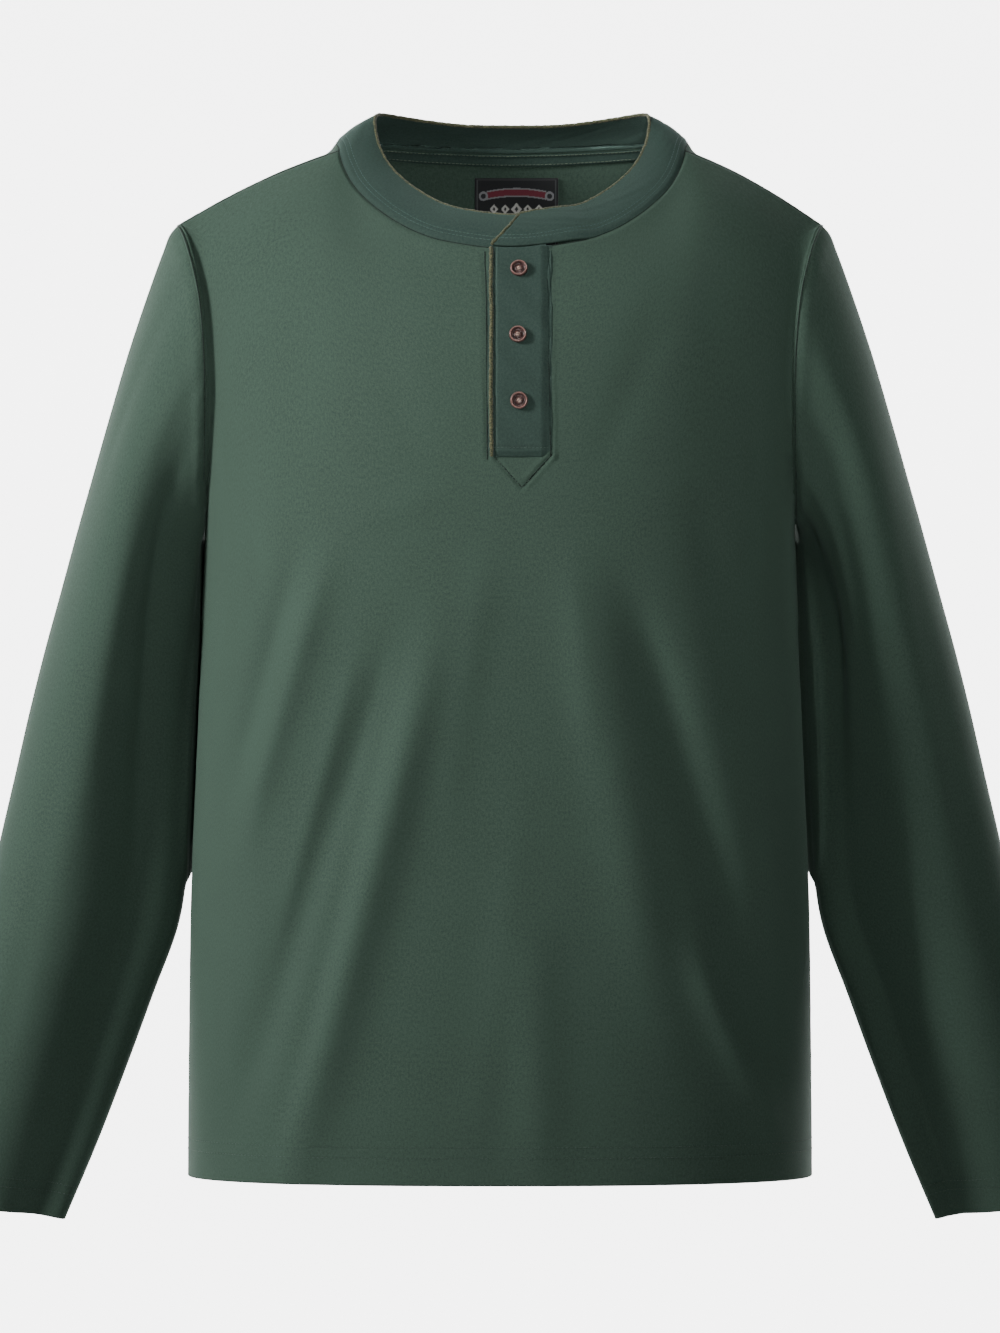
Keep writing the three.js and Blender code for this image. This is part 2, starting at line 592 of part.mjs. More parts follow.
// The neckband: an open ring whose left end steps out and laps over the right end
function bandPoint(row, height) {
  const seam = neckSeam(row);
  const top = bandTop(row);
  const point = seam.clone().lerp(top, height);
  const along = neckSeam(row + 0.05).sub(neckSeam(row - 0.05));
  const rise = top.sub(seam).normalize();
  const out = rise.clone().cross(along).normalize();
  const lapped = smooth(row, LAP_FULL_AT - LAP_EASE, LAP_FULL_AT);
  point.addScaledVector(out, BAND_BULGE * Math.sin(Math.PI * height) + LAP_STEP * lapped);
  return point.addScaledVector(rise, LAP_CLEAR * lapped * (1 - height));
}

function bandEnd(height) {
  return FULL_RING + THREE.MathUtils.lerp(OVER_END_FOOT, OVER_END_TOP, height);
}

// Rows of the band's columns: both ends, and each place where the panels' neck columns end
function bandColumns() {
  const rows = [UNDER_END];
  for (let i = 0; i <= NECK_FRONT; i += 1) rows.push((SHOULDER_ROW * i) / NECK_FRONT);
  const backRows = NECK.length - 1 - SHOULDER_ROW;
  for (let i = 1; i < 2 * NECK_BACK; i += 1) rows.push(SHOULDER_ROW + (backRows * i) / NECK_BACK);
  for (let i = 0; i < NECK_FRONT; i += 1) {
    rows.push(FULL_RING - SHOULDER_ROW + (SHOULDER_ROW * i) / NECK_FRONT);
  }
  rows.push(FULL_RING + OVER_END_FOOT);
  return rows;
}

function bandGrid() {
  const columns = bandColumns();
  const grid = [];
  for (let j = 0; j <= BAND_ROWS; j += 1) {
    const height = j / BAND_ROWS;
    const end = bandEnd(height);
    // Columns past the slanting end are drawn in to it, in their order
    const within = (row) => Math.min(row, end - END_CROWDING * (FULL_RING + OVER_END_FOOT - row));
    grid.push(columns.map((row) => bandPoint(within(row), height)));
  }
  return grid.map((row) => row.reverse());
}

// Points found on the wall that carries a strip, looked for along y from one side
function pointsOn(carrier, from, acrossList, heightsAt, rows) {
  const ray = new THREE.Raycaster();
  const toward = new THREE.Vector3(0, -Math.sign(from), 0);
  return steps(0, 1, rows).map((t) =>
    acrossList.map((x) => {
      const [foot, top] = heightsAt(x);
      ray.set(new THREE.Vector3(x, from, THREE.MathUtils.lerp(foot, top, t)), toward);
      return ray.intersectObject(carrier)[0].point.clone();
    }),
  );
}

// A strip that lies on a wall: its points are moved out along the wall's own direction
function strip(points, lift, thickness) {
  const normals = gridNormals(points, false);
  const outwards = (point, j, i) => point.clone().addScaledVector(normals[j][i], lift + thickness);
  const grid = points.map((row, j) => row.map((point, i) => outwards(point, j, i)));
  return { grid, normals, geometry: wallSolid(grid, normals, thickness, false) };
}

// Height of the neck seam's front above a place across the placket
function seamHeight(x) {
  return neckSeam(-Math.abs(x - NECK_SHIFT) / (NECK[1].seamX - NECK[0].seamX)).z;
}

// A rolled raw edge: a thin round bead along a path
function rollSolid(points, count) {
  const corners = steps(0, 2 * Math.PI, ROLL_SIDES)
    .slice(1)
    .map((angle) => new THREE.Vector2(ROLL_RADIUS * Math.cos(angle), ROLL_RADIUS * Math.sin(angle)));
  const path = new THREE.CatmullRomCurve3(points);
  return new THREE.ExtrudeGeometry(new THREE.Shape(corners), { steps: count, extrudePath: path });
}

// The bead on the band follows its top edge from the lower end, then turns down the cut upper end
function neckRollPath() {
  const reach = ROLL_RADIUS + ROLL_CLEAR;
  const beside = (point, tangent, out) =>
    point.addScaledVector(out, -BAND / 2).addScaledVector(tangent.clone().cross(out).normalize(), reach);
  const outAt = (row) => {
    const along = bandPoint(row + 0.02, 1).sub(bandPoint(row - 0.02, 1));
    return bandPoint(row, 1).sub(bandPoint(row, 0.7)).cross(along).normalize();
  };
  const onTop = (row) => {
    const tangent = bandPoint(row + 0.02, 1).sub(bandPoint(row - 0.02, 1)).normalize();
    return beside(bandPoint(row, 1), tangent, outAt(row));
  };
  const onCut = (height) => {
    const place = (h) => bandPoint(bandEnd(h), h);
    const tangent = place(height - 0.02).sub(place(height + 0.02)).normalize();
    return beside(place(height), tangent, outAt(bandEnd(1)));
  };
  const top = steps(UNDER_END + 0.05, FULL_RING + OVER_END_TOP - 0.02, NECK_ROLL_PLACES).map(onTop);
  return [...top, ...steps(0.98, 0.06, CUT_ROLL_PLACES).map(onCut)];
}

// A button: a shallow dish with a raised rim, its back at height 0 on its own axis
function buttonSolid() {
  const profile = [
    { radius: 0, height: 0.54 },
    { radius: 0.5, height: 0.56 },
    { radius: 0.66, height: 0.7 },
    { radius: 0.8, height: 1 },
    { radius: 0.94, height: 0.92 },
    { radius: 1, height: 0.5 },
    { radius: 0.9, height: 0.1 },
    { radius: 0.6, height: 0 },
    { radius: 0, height: 0 },
  ];
  const points = profile.map(
    ({ radius, height }) => new THREE.Vector2(radius * BUTTON_RADIUS, height * BUTTON_HEIGHT),
  );
  return new THREE.LatheGeometry(points.reverse(), BUTTON_SIDES);
}

function meshOf(name, geometry, material) {
  const mesh = new THREE.Mesh(geometry, material);
  mesh.name = name;
  return mesh;
}

const wasm = await Module();
wasm.setup();

function toSolid(geometry) {
  const bare = geometry.index ? geometry.toNonIndexed() : geometry.clone();
  bare.deleteAttribute("normal");
  bare.deleteAttribute("uv");
  const merged = mergeVertices(bare, 1e-3);
  const triVerts = new Uint32Array(merged.index.array);
  const vertProperties = new Float32Array(merged.attributes.position.array);
  return new wasm.Manifold(new wasm.Mesh({ numProp: 3, vertProperties, triVerts }));
}

function toGeometry(solid) {
  const mesh = solid.getMesh();
  const geometry = new THREE.BufferGeometry();
  geometry.setAttribute("position", new THREE.Float32BufferAttribute(mesh.vertProperties, 3));
  geometry.setIndex(new THREE.BufferAttribute(mesh.triVerts, 1));
  return geometry;
}

// Panels, sleeves and band meet at shared seam points
const front = pieceOf(panelGrid(FRONT), false);
const back = pieceOf(panelGrid(BACK), false);
const band = pieceOf(bandGrid(), false);
shareNormals([front, back, band]);

const sleeves = [
  { name: "sleeve_left", side: 1, piece: pieceOf(sleeveGrid(1), true) },
  { name: "sleeve_right", side: -1, piece: pieceOf(sleeveGrid(-1), true) },
];

for (const { grid } of [front, back]) openSeams(grid, { ends: true, top: true, bottom: false });
openSeams(band.grid, { ends: false, top: false, bottom: true });
for (const [piece, face] of [[front, FRONT], [back, BACK]]) {
  const columns = columnsOf(face);
  for (let k = 0; k <= ARMHOLE; k += 1) {
    const offset = face.sign * (columns - ARMHOLE + k);
    const corner = k === 0 || k === ARMHOLE ? face.sign : 0;
    for (const side of [1, -1]) setArmhole(piece, columns - side * offset, -face.sign * k, side, -1, corner);
  }
}
for (const { side, piece } of sleeves) {
  const turns = 2 * ARMHOLE;
  for (let i = 0; i < turns; i += 1) {
    setArmhole(piece, i, side > 0 ? -i : i + 1, side, 1, 0);
  }
}

// The corner where neck and shoulder seam meet is drawn back from both
for (const [piece, face] of [
  [front, FRONT],
  [back, BACK],
]) {
  const top = piece.grid[piece.grid.length - 1];
  for (const turn of [1, -1]) {
    const corner = columnsOf(face) + turn * face.neck;
    top[corner].add(top[corner + turn].clone().sub(top[corner]).setLength(CORNER_GAP));
  }
}

const shirt = new THREE.Group();
const backMesh = meshOf("back", wallSolid(back.grid, back.normals, CLOTH, false), JERSEY);
const wholeFront = meshOf("whole_front", wallSolid(front.grid, front.normals, CLOTH, false), JERSEY);

// The slot for the placket is cut out of the front
const slotWidth = PLACKET_LEFT_X - PLACKET_RIGHT_X;
const slot = new THREE.BoxGeometry(slotWidth, SLOT_DEPTH, -PLACKET_FOOT_Z);
slot.translate(PLACKET_RIGHT_X + slotWidth / 2, -SLOT_DEPTH / 2 - SLOT_BEHIND, PLACKET_FOOT_Z / 2);
const cutFront = toSolid(wholeFront.geometry).subtract(toSolid(slot));
shirt.add(meshOf("front", toGeometry(cutFront), JERSEY), backMesh);
for (const { name, piece } of sleeves) {
  shirt.add(meshOf(name, wallSolid(piece.grid, piece.normals, CLOTH, true), JERSEY));
}
shirt.add(meshOf("neckband", wallSolid(band.grid, band.normals, BAND, false), BAND_JERSEY));
shirt.add(meshOf("edge_roll_neck", rollSolid(neckRollPath(), NECK_ROLL_STEPS), ROLLED_EDGE));

// Lower strip in the slot, upper strip over it, buttons on the upper strip
function placketStrip(rightX, leftX, footZ, lift) {
  const across = steps(rightX, leftX, STRIP_COLUMNS);
  const heights = (x) => [footZ, seamHeight(x) - STRIP_TOP_GAP];
  return strip(pointsOn(wholeFront, IN_FRONT, across, heights, STRIP_ROWS), lift, BAND);
}
const under = placketStrip(
  PLACKET_RIGHT_X + SEAM_GAP,
  PLACKET_LEFT_X - SEAM_GAP,
  PLACKET_FOOT_Z + SEAM_GAP,
  -BAND,
);
shirt.add(meshOf("placket_under", under.geometry, BAND_JERSEY));
const over = placketStrip(
  PLACKET_EDGE_X,
  PLACKET_LEFT_X + SEAM_LAP,
  PLACKET_FOOT_Z - PLACKET_LAP,
  STRIP_LIFT,
);
const overMesh = meshOf("placket_over", over.geometry, BAND_JERSEY);
shirt.add(overMesh);
const rollPoints = over.grid
  .map((row, j) => {
    const outwards = row[0].clone().sub(row[1]).setLength(ROLL_RADIUS + SEAM_GAP);
    return row[0].clone().add(outwards).addScaledVector(over.normals[j][0], -BAND / 2);
  })
  .reverse();
shirt.add(meshOf("edge_roll_placket", rollSolid(rollPoints, PLACKET_ROLL_STEPS), ROLLED_EDGE));

const seat = new THREE.Raycaster();
BUTTONS.forEach(({ x, z }, index) => {
  seat.set(new THREE.Vector3(x, IN_FRONT, z), new THREE.Vector3(0, 1, 0));
  const [hit] = seat.intersectObject(overMesh);
  const button = meshOf("button_" + (index + 1), buttonSolid(), HORN);
  button.position.copy(hit.point).addScaledVector(hit.face.normal, SEAM_GAP);
  button.quaternion.setFromUnitVectors(new THREE.Vector3(0, 1, 0), hit.face.normal);
  shirt.add(button);
});

// The tape lies inside the back just under the neck seam, on the panel's top row of cells
const lastRow = back.grid.length - 1;
const backColumns = columnsOf(BACK);
const tapePoints = [TAPE_TOP + TAPE_WIDTH, TAPE_TOP].map((drop) => {
  const row = [];
  for (let i = backColumns + TAPE_COLUMNS; i >= backColumns - TAPE_COLUMNS; i -= 1) {
    const edge = back.grid[lastRow][i];
    const below = back.grid[lastRow - 1][i];
    const t = drop / edge.distanceTo(below);
    const out = back.normals[lastRow][i].clone().lerp(back.normals[lastRow - 1][i], t);
    row.push(edge.clone().lerp(below, t).addScaledVector(out, -CLOTH));
  }
  return row;
});
shirt.add(meshOf("neck_tape", strip(tapePoints, TAPE_LIFT, TAPE_THICKNESS).geometry, BAND_JERSEY));

const labelAcross = steps(LABEL.left, LABEL.right, LABEL_COLUMNS);
const labelPoints = pointsOn(backMesh, INSIDE, labelAcross, () => [LABEL.foot, LABEL.top], LABEL_ROWS);
shirt.add(meshOf("label", strip(labelPoints, SEAM_GAP, LABEL.thickness).geometry, WOVEN));

export default shirt;
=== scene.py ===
# %% [markdown]
# # A henley shirt, filled out as if worn
# The shirt is long-sleeved, in dark green jersey, with a standing band for a collar and a short
# buttoned placket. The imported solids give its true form: two panels, two sleeves, the band and the
# placket strips. Here each of them becomes a thin shell of cloth on the same form, with finer
# creases, knitted material and stitches.

# %% Load the frame
import math

import bpy
import numpy as np
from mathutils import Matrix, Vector
from mathutils.bvhtree import BVHTree


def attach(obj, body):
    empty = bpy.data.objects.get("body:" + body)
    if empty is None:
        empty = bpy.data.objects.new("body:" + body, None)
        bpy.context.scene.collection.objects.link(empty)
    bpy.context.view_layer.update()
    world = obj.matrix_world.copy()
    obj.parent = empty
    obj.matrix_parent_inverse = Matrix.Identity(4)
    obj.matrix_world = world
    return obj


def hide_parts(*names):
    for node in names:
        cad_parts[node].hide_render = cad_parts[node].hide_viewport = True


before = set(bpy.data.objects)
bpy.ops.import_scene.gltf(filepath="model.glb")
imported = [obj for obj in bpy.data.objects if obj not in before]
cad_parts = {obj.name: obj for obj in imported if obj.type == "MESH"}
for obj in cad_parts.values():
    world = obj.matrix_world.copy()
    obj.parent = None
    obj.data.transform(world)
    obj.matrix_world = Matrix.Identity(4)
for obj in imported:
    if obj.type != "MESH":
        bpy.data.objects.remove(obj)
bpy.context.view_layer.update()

MM = 0.001  # everything is worked out in millimetres and made in metres

# %% [markdown]
# ## Camera
# The picture was taken level with the middle of the shirt from far away, so its edges hardly
# converge. A long lens five metres off gives the same view. One pixel of the picture, 1000 wide,
# shows 0.665 mm of the shirt, which gives the focal length.

# %% Camera
PIXEL_MM = 0.665
PICTURE_WIDTH = 1000
CAMERA_AWAY = 5.0
CAMERA_HEIGHT = -0.350
SENSOR = 36.0

lens = bpy.data.cameras.new("camera")
lens.sensor_fit = "HORIZONTAL"
lens.sensor_width = SENSOR
lens.lens = SENSOR * CAMERA_AWAY / (PIXEL_MM * PICTURE_WIDTH * MM)
lens.clip_end = 60
camera = bpy.data.objects.new("camera", lens)
camera.location = (0, -CAMERA_AWAY, CAMERA_HEIGHT)
camera.rotation_euler = (math.pi / 2, 0, 0)
bpy.context.scene.collection.objects.link(camera)
bpy.context.scene.camera = camera
print("focal length in mm:", round(lens.lens, 1))


def place_of_pixel(px, py, depth=-115.0):
    """The place in millimetres that a pixel of the picture shows, at a depth in y."""
    scale = PIXEL_MM * (CAMERA_AWAY / MM + depth) / (CAMERA_AWAY / MM)
    return (px - 500) * scale, CAMERA_HEIGHT / MM - (py - 666.5) * scale


# %% [markdown]
# ## Tables of the form
# A pattern cutter works from a few measured sections, and so does this script. Each table has named
# columns, and a smooth line is drawn through its rows, so the shape stays easy to change.

# %% Read a table on a smooth line
class Table:
    """Rows of numbers with named columns, read between the rows on a cubic line."""

    def __init__(self, names, rows):
        self.names = names.split()
        self.rows = np.array(rows, float)

    def column(self, name):
        return self.rows[:, self.names.index(name)]

    def read(self, name, at, key=None):
        keys = self.column(key) if key else np.arange(len(self.rows), dtype=float)
        values = self.column(name)
        at = np.clip(np.asarray(at, float), keys[0], keys[-1])
        i = np.clip(np.searchsorted(keys, at, side="left") - 1, 0, len(keys) - 2)
        rows = np.arange(len(keys))
        before, after = np.maximum(rows - 1, 0), np.minimum(rows + 1, len(keys) - 1)
        slopes = (values[after] - values[before]) / (keys[after] - keys[before])
        step = keys[i + 1] - keys[i]
        t = (at - keys[i]) / step
        rise = values[i + 1] - values[i]
        a = slopes[i] * step - rise
        b = rise - slopes[i + 1] * step
        return values[i] + rise * t + t * (1 - t) * (a * (1 - t) + b * t)


def smooth(value, low, high):
    """0 below low, 1 above high, and an S-shaped step between."""
    t = np.clip((np.asarray(value, float) - low) / (high - low), 0, 1)
    return t * t * (3 - 2 * t)


def catmull(points, at, closed):
    """A smooth line through points along the first axis, read at places counted in points."""
    count = len(points)
    at = np.asarray(at, float)
    i = np.floor(at).astype(int)
    if not closed:
        i = np.clip(i, 0, count - 2)
    t = (at - i).reshape((-1,) + (1,) * (points.ndim - 1))
    if closed:
        p0, p1, p2, p3 = (points[(i + k) % count] for k in (-1, 0, 1, 2))
    else:
        padded = np.concatenate([[2 * points[0] - points[1]], points, [2 * points[-1] - points[-2]]])
        p0, p1, p2, p3 = (padded[i + k] for k in (0, 1, 2, 3))
    return 0.5 * (2 * p1 + (p2 - p0) * t + (2 * p0 - 5 * p1 + 4 * p2 - p3) * t**2
                  + (3 * p1 - p0 - 3 * p2 + p3) * t**3)


# %% Sections of the torso
BODY = Table("z half front back", [
    (-690, 207.5, 120, 114),
    (-600, 206.8, 118, 110),
    (-500, 205.3, 116, 105),
    (-400, 201.2, 117, 104),
    (-320, 198, 119, 108),
    (-250, 195.8, 119, 112),
])
HEM_Z = -687
CHEST_Z = -256
SIDE_DROP = 80
NECK_SHIFT = 8
RISE_SHARE = 0.52
SECTION_POWER = 2.4
NECK_SHARE = 0.45
TIP_SHARE = 0.61
SHARE_POWER = 1.15
SHOULDER = 4
ARMHOLE = 9
BODY_ROWS = 9
YOKE_ROWS = 10
YOKE_EASE = 8
YOKE_START = BODY_ROWS / (BODY_ROWS + YOKE_ROWS)

# %% The neck seam, the band's top edge and the armhole
NECK = Table("seamX seamY seamZ topX topY topZ", [
    (0, -84, -76.5, 0, -62, -53.4),
    (41, -80, -71.5, 30, -58.5, -50),
    (62, -73.5, -65, 47, -52.5, -45),
    (80, -64, -55, 61, -44, -37),
    (95, -52, -43, 72.5, -35, -28),
    (105.5, -39, -31, 82, -24.5, -17.5),
    (112, -25, -18, 88.5, -14, -5),
    (115.5, -12, -7, 91.5, -4, 7),
    (118, 3, -1.5, 92, 6, 16),
    (115.5, 18, 0, 88, 17, 18.5),
    (103, 34, -0.5, 76.5, 28, 17.5),
    (80, 45.5, -1.5, 57, 36, 15),
    (45, 54, -3, 32, 40.5, 12.5),
    (0, 57, -4, 0, 42, 12),
])
SHOULDER_ROW = 7
SHOULDER_BOW = 4
ARMHOLE_EDGE = Table("z frontX frontY backX backY", [
    (-56, 214, -6, 214, -6),
    (-63, 209, -23, 212.5, 12),
    (-80, 203, -39, 209.5, 31),
    (-106, 197, -51, 206, 46),
    (-139, 193.8, -57, 203, 55),
    (-173, 193, -58, 201, 58),
    (-206, 193.5, -52, 199, 54),
    (-233, 194.5, -39, 197.5, 41),
    (-250, 195.5, -21, 196.5, 22),
    (-256, 196, 0, 196, 0),
])
NECK_ROWS = len(NECK.rows)
FULL_RING = 2 * (NECK_ROWS - 1)


def neck_ring(prefix):
    """Rows 0 to 13 run from centre front to centre back on the wearer's right, then round the left."""
    half = np.stack([NECK.column(prefix + axis) for axis in "XYZ"], axis=1)
    shift = np.array([NECK_SHIFT, 0, 0])
    right = half * (-1, 1, 1) + shift
    left = half[1:-1][::-1] + shift
    return np.concatenate([right, left])


SEAM_RING, TOP_RING = neck_ring("seam"), neck_ring("top")


def neck_seam(row):
    return catmull(SEAM_RING, np.atleast_1d(row), True)


def band_top(row):
    return catmull(TOP_RING, np.atleast_1d(row), True)


ARMHOLE_RING = np.concatenate([
    np.stack([ARMHOLE_EDGE.column(name) for name in ("frontX", "frontY", "z")], axis=1),
    np.stack([ARMHOLE_EDGE.column(name) for name in ("backX", "backY", "z")], axis=1)[1:-1][::-1],
])


def armhole_point(place):
    """0 at the shoulder tip, 9 at the underarm, then up the back, on the wearer's left."""
    return catmull(ARMHOLE_RING, np.atleast_1d(place), True)


print("neck seam's length in mm:", round(float(np.linalg.norm(np.diff(
    neck_seam(np.linspace(0, FULL_RING, 400)), axis=0), axis=1).sum())))

# %% How the back stands up behind the shoulder seam
SHOULDER_LIFT = Table("edge rise", [(5, 0), (6, 2), (8, 5.5), (9, 6), (11, 4.5), (12, 3), (14, 0)])
LIFT_BY_ROW = Table("below share", [(0, 0), (1, 0.85), (2, 1), (3, 0.8), (5, 0.3), (7, 0)])

# %% How the panels' threads run where they end
FRONT_LEAN = Table("edge x y z hold", [
    (0, 0, 0.45, 0.89, 75),
    (6, -0.2, 0.62, 0.74, 60),
    (10, -0.25, 0.88, 0.32, 55),
    (14, 0.3, 0.88, 0.35, 58),
    (16, 0.45, 0.45, 0.77, 38),
    (19, 0.25, 0.05, 0.96, 32),
    (23, 0, 0, 1, 10),
])
BACK_LEAN = Table("edge x y z hold", [
    (0, 0, -0.52, 0.85, 72),
    (4, -0.25, -0.68, 0.62, 68),
    (6, -0.22, -0.85, 0.3, 62),
    (8, -0.3, -0.93, -0.05, 62),
    (12, 0.1, -0.97, -0.15, 66),
    (14, 0.5, -0.45, 0.7, 48),
    (17, 0.4, -0.1, 0.92, 42),
    (19, 0.2, 0, 1, 20),
    (21, 0, 0, 1, 10),
])

# %% [markdown]
# ## Folds
# Soft jersey on a filled-out shirt has few folds. Each row here is one soft ridge or trough, drawn
# from one place of the front view to another. The tables of folds are the ones that the solids have.
# The tables of creases are in this model only. Most are fine, but the first two of the left sleeve
# deepen its long furrow well beyond the solid's. A cloth simulation would give folds too, but not the
# ones of this shirt, so they are placed one by one.

# %% Folds of the panels and sleeves
FRONT_FOLDS = Table("fromX fromZ toX toZ width rise", [
    (-104, -255, -172, -480, 13, 4),
    (-62, -305, -182, -670, 13, -4),
    (-26, -275, -150, -730, 19, 6.5),
    (42, -250, 108, -590, 20, 4.2),
    (70, -262, 166, -570, 14, -3.6),
    (112, -285, 188, -540, 20, 3.5),
    (16, -480, 28, -700, 18, 2.5),
    (114, -510, 186, -670, 12, 3),
    (128, -225, 152, -330, 12, -1.5),
])
BACK_FOLDS = Table("fromX fromZ toX toZ width rise", [
    (-120, -230, -150, -600, 20, 4),
    (-62, -300, -78, -670, 24, -4),
    (4, -180, -10, -640, 26, 3.5),
    (70, -280, 84, -680, 22, -4),
    (122, -220, 150, -560, 20, 4.5),
])
FRONT_CREASES = Table("fromX fromZ toX toZ width rise", [
    (-186, -140, -178, -330, 5, 0.9),
    (-176, -150, -150, -360, 9, -0.9),
    (-126, -252, -180, -440, 8, -3.2),
    (-106, -258, -170, -480, 7, 1.8),
    (-86, -318, -152, -550, 6, 1.6),
    (-68, -318, -112, -470, 6, -1.2),
    (-52, -300, -150, -690, 9, -2.8),
    (-30, -290, -136, -690, 9, 1.0),
    (-4, -250, -40, -470, 12, 1.2),
    (20, -400, -20, -684, 12, 0.8),
    (44, -262, 60, -420, 9, 0.7),
    (84, -290, 168, -560, 9, -1.8),
    (118, -530, 184, -660, 6, 1.6),
    (168, -400, 190, -600, 7, 1.0),
    (172, -150, 160, -330, 7, -1.0),
    (110, -110, 60, -230, 12, -0.8),
    (-90, -110, -50, -222, 12, -0.7),
    (-20, -232, -110, -262, 9, 0.7),
    (-120, -600, -150, -700, 7, 0.8),
])
BACK_CREASES = Table("fromX fromZ toX toZ width rise", [
    (-182, -140, -168, -340, 7, 1.0),
    (-160, -120, -110, -300, 9, -0.9),
    (-40, -60, -30, -300, 12, 0.9),
    (60, -80, 44, -330, 11, -0.8),
    (172, -150, 158, -350, 7, 1.0),
    (-100, -420, -120, -650, 9, 0.9),
    (40, -430, 30, -684, 9, 0.9),
    (110, -400, 120, -640, 10, -0.8),
])
SLEEVE_FOLDS = Table("from to start end width rise", [
    (0.06, 1.3, 112, 134, 28, -11),
    (0.02, 0.5, 140, 160, 14, 3),
    (0.42, 1.3, 118, 122, 36, -4),
    (0.03, 0.9, 74, 66, 24, 4),
    (0.04, 0.5, 236, 250, 18, -4),
    (0.42, 0.56, 255, 300, 20, -3),
    (0.6, 0.9, 280, 270, 22, 2.5),
])
RIGHT_SLEEVE_CREASES = Table("from to start end width rise", [
    (-0.25, 0.5, 146, 162, 9, 3.2),
    (0.06, 0.8, 106, 126, 9, -1.8),
    (0.01, 0.28, 84, 80, 8, 0.8),
    (0.02, 0.35, 44, 40, 8, -0.8),
    (0.3, 0.75, 84, 78, 8, 0.9),
    (0.55, 0.95, 60, 64, 8, -0.8),
    (0.0, 0.3, 210, 228, 8, 1.1),
    (0.3, 0.7, 225, 235, 8, 0.9),
    (0.6, 0.97, 250, 240, 8, -0.8),
    (0.1, 0.5, 320, 310, 9, 0.9),
])
LEFT_SLEEVE_CREASES = Table("from to start end width rise", [
    (0.1, 1.25, 156, 146, 20, -9),
    (0.0, 0.66, 160, 146, 17, -8),
    (0.02, 0.5, 128, 110, 7, 2.6),
    (0.02, 0.3, 108, 90, 9, -2.6),
    (0.01, 0.28, 76, 70, 8, 0.8),
    (0.35, 0.85, 96, 86, 9, 1.4),
    (0.3, 0.9, 56, 50, 12, -1.4),
    (0.0, 0.3, 212, 226, 8, 1.1),
    (0.25, 0.7, 228, 240, 8, 0.9),
    (0.6, 0.97, 246, 238, 8, -0.8),
    (0.1, 0.5, 316, 308, 9, 0.9),
])
SIDE_CALM = 0.16


def fold_height(folds, x, z):
    """How far the folds raise the cloth at places of the front view."""
    height = np.zeros_like(x)
    for from_x, from_z, to_x, to_z, width, rise in folds.rows:
        run_x, run_z = to_x - from_x, to_z - from_z
        t = np.clip(((x - from_x) * run_x + (z - from_z) * run_z) / (run_x**2 + run_z**2), 0, 1)
        gap = np.hypot(x - from_x - t * run_x, z - from_z - t * run_z)
        height += rise * smooth(t, 0, 0.35) * (1 - 0.8 * smooth(t, 0.7, 1)) * np.exp(-((gap / width) ** 2))
    return height


def sleeve_fold_height(folds, along, degrees):
    height = np.zeros_like(along)
    for start, stop, first, last, width, rise in folds.rows:
        t = (along - start) / (stop - start)
        off = np.abs(degrees - (first + (last - first) * t))
        gap = np.minimum(off, np.abs(360 - off)) / width
        height += rise * smooth(t, 0, 0.3) * (1 - smooth(t, 0.6, 1)) * np.exp(-(gap**2))
    return height


def ripple(along, seed, pitch):
    """Uneven small waves along a seam, the same on each run."""
    random = np.random.default_rng(seed)
    height = np.zeros_like(along)
    for step in (0.7, 1.0, 1.45, 2.1):
        turned = 2 * np.pi * along / (pitch * step) + random.uniform(0, 6.28)
        height += np.sin(turned) * random.uniform(0.5, 1)
    return height / 2.4


# %% [markdown]
# ## Panels
# Front and back are flat pieces of jersey when they are cut. On the body each upright thread rises
# from the hem, leans in over the chest, and ends at the neck, the shoulder seam or the armhole. The
# script works out a coarse grid of such threads, which is the grid that the solids have, and then
# reads it at many more places.

# %% Coarse grid of a panel
FRONT = {"sign": -1, "depth": "front", "neck": 10, "lean": FRONT_LEAN, "folds": (FRONT_FOLDS, FRONT_CREASES)}
BACK = {"sign": 1, "depth": "back", "neck": 8, "lean": BACK_LEAN, "folds": (BACK_FOLDS, BACK_CREASES)}


def columns_of(face):
    return face["neck"] + SHOULDER + ARMHOLE


def panel_top(face, side, edge):
    """Top edge of a panel at one place: neck, then shoulder seam, then armhole."""
    mirror = np.array([side, 1, 1])
    centre_row = 0 if face is FRONT else NECK_ROWS - 1
    neck_rows = SHOULDER_ROW - centre_row
    if edge <= face["neck"]:
        return neck_seam(centre_row - side * neck_rows * edge / face["neck"])[0]
    if edge <= face["neck"] + SHOULDER:
        t = (edge - face["neck"]) / SHOULDER
        point = neck_seam(-side * SHOULDER_ROW)[0] * (1 - t) + armhole_point(0)[0] * mirror * t
        return point + (0, 0, SHOULDER_BOW * math.sin(math.pi * t))
    return armhole_point(-face["sign"] * (edge - face["neck"] - SHOULDER))[0] * mirror


def share_of(face, edge):
    """How far round the half section a thread stands at the chest: 0 at the centre, 1 at the side."""
    edge = np.asarray(edge, float)
    past_neck = (edge - face["neck"]) / SHOULDER
    past_tip = np.clip((edge - face["neck"] - SHOULDER) / ARMHOLE, 0, 1)
    on_neck = NECK_SHARE * edge / face["neck"]
    on_shoulder = NECK_SHARE + (TIP_SHARE - NECK_SHARE) * past_neck
    on_armhole = TIP_SHARE + (1 - TIP_SHARE) * past_tip**SHARE_POWER
    return np.where(edge <= face["neck"], on_neck, np.where(past_neck <= 1, on_shoulder, on_armhole))


def section_point(face, side, share, z):
    angle = share * math.pi / 2
    z = np.atleast_1d(np.asarray(z, float))
    x = side * BODY.read("half", z, "z") * math.sin(angle) ** (2 / SECTION_POWER)
    y = face["sign"] * BODY.read(face["depth"], z, "z") * max(math.cos(angle), 0) ** (2 / SECTION_POWER)
    return np.stack([x, y, z], axis=1)


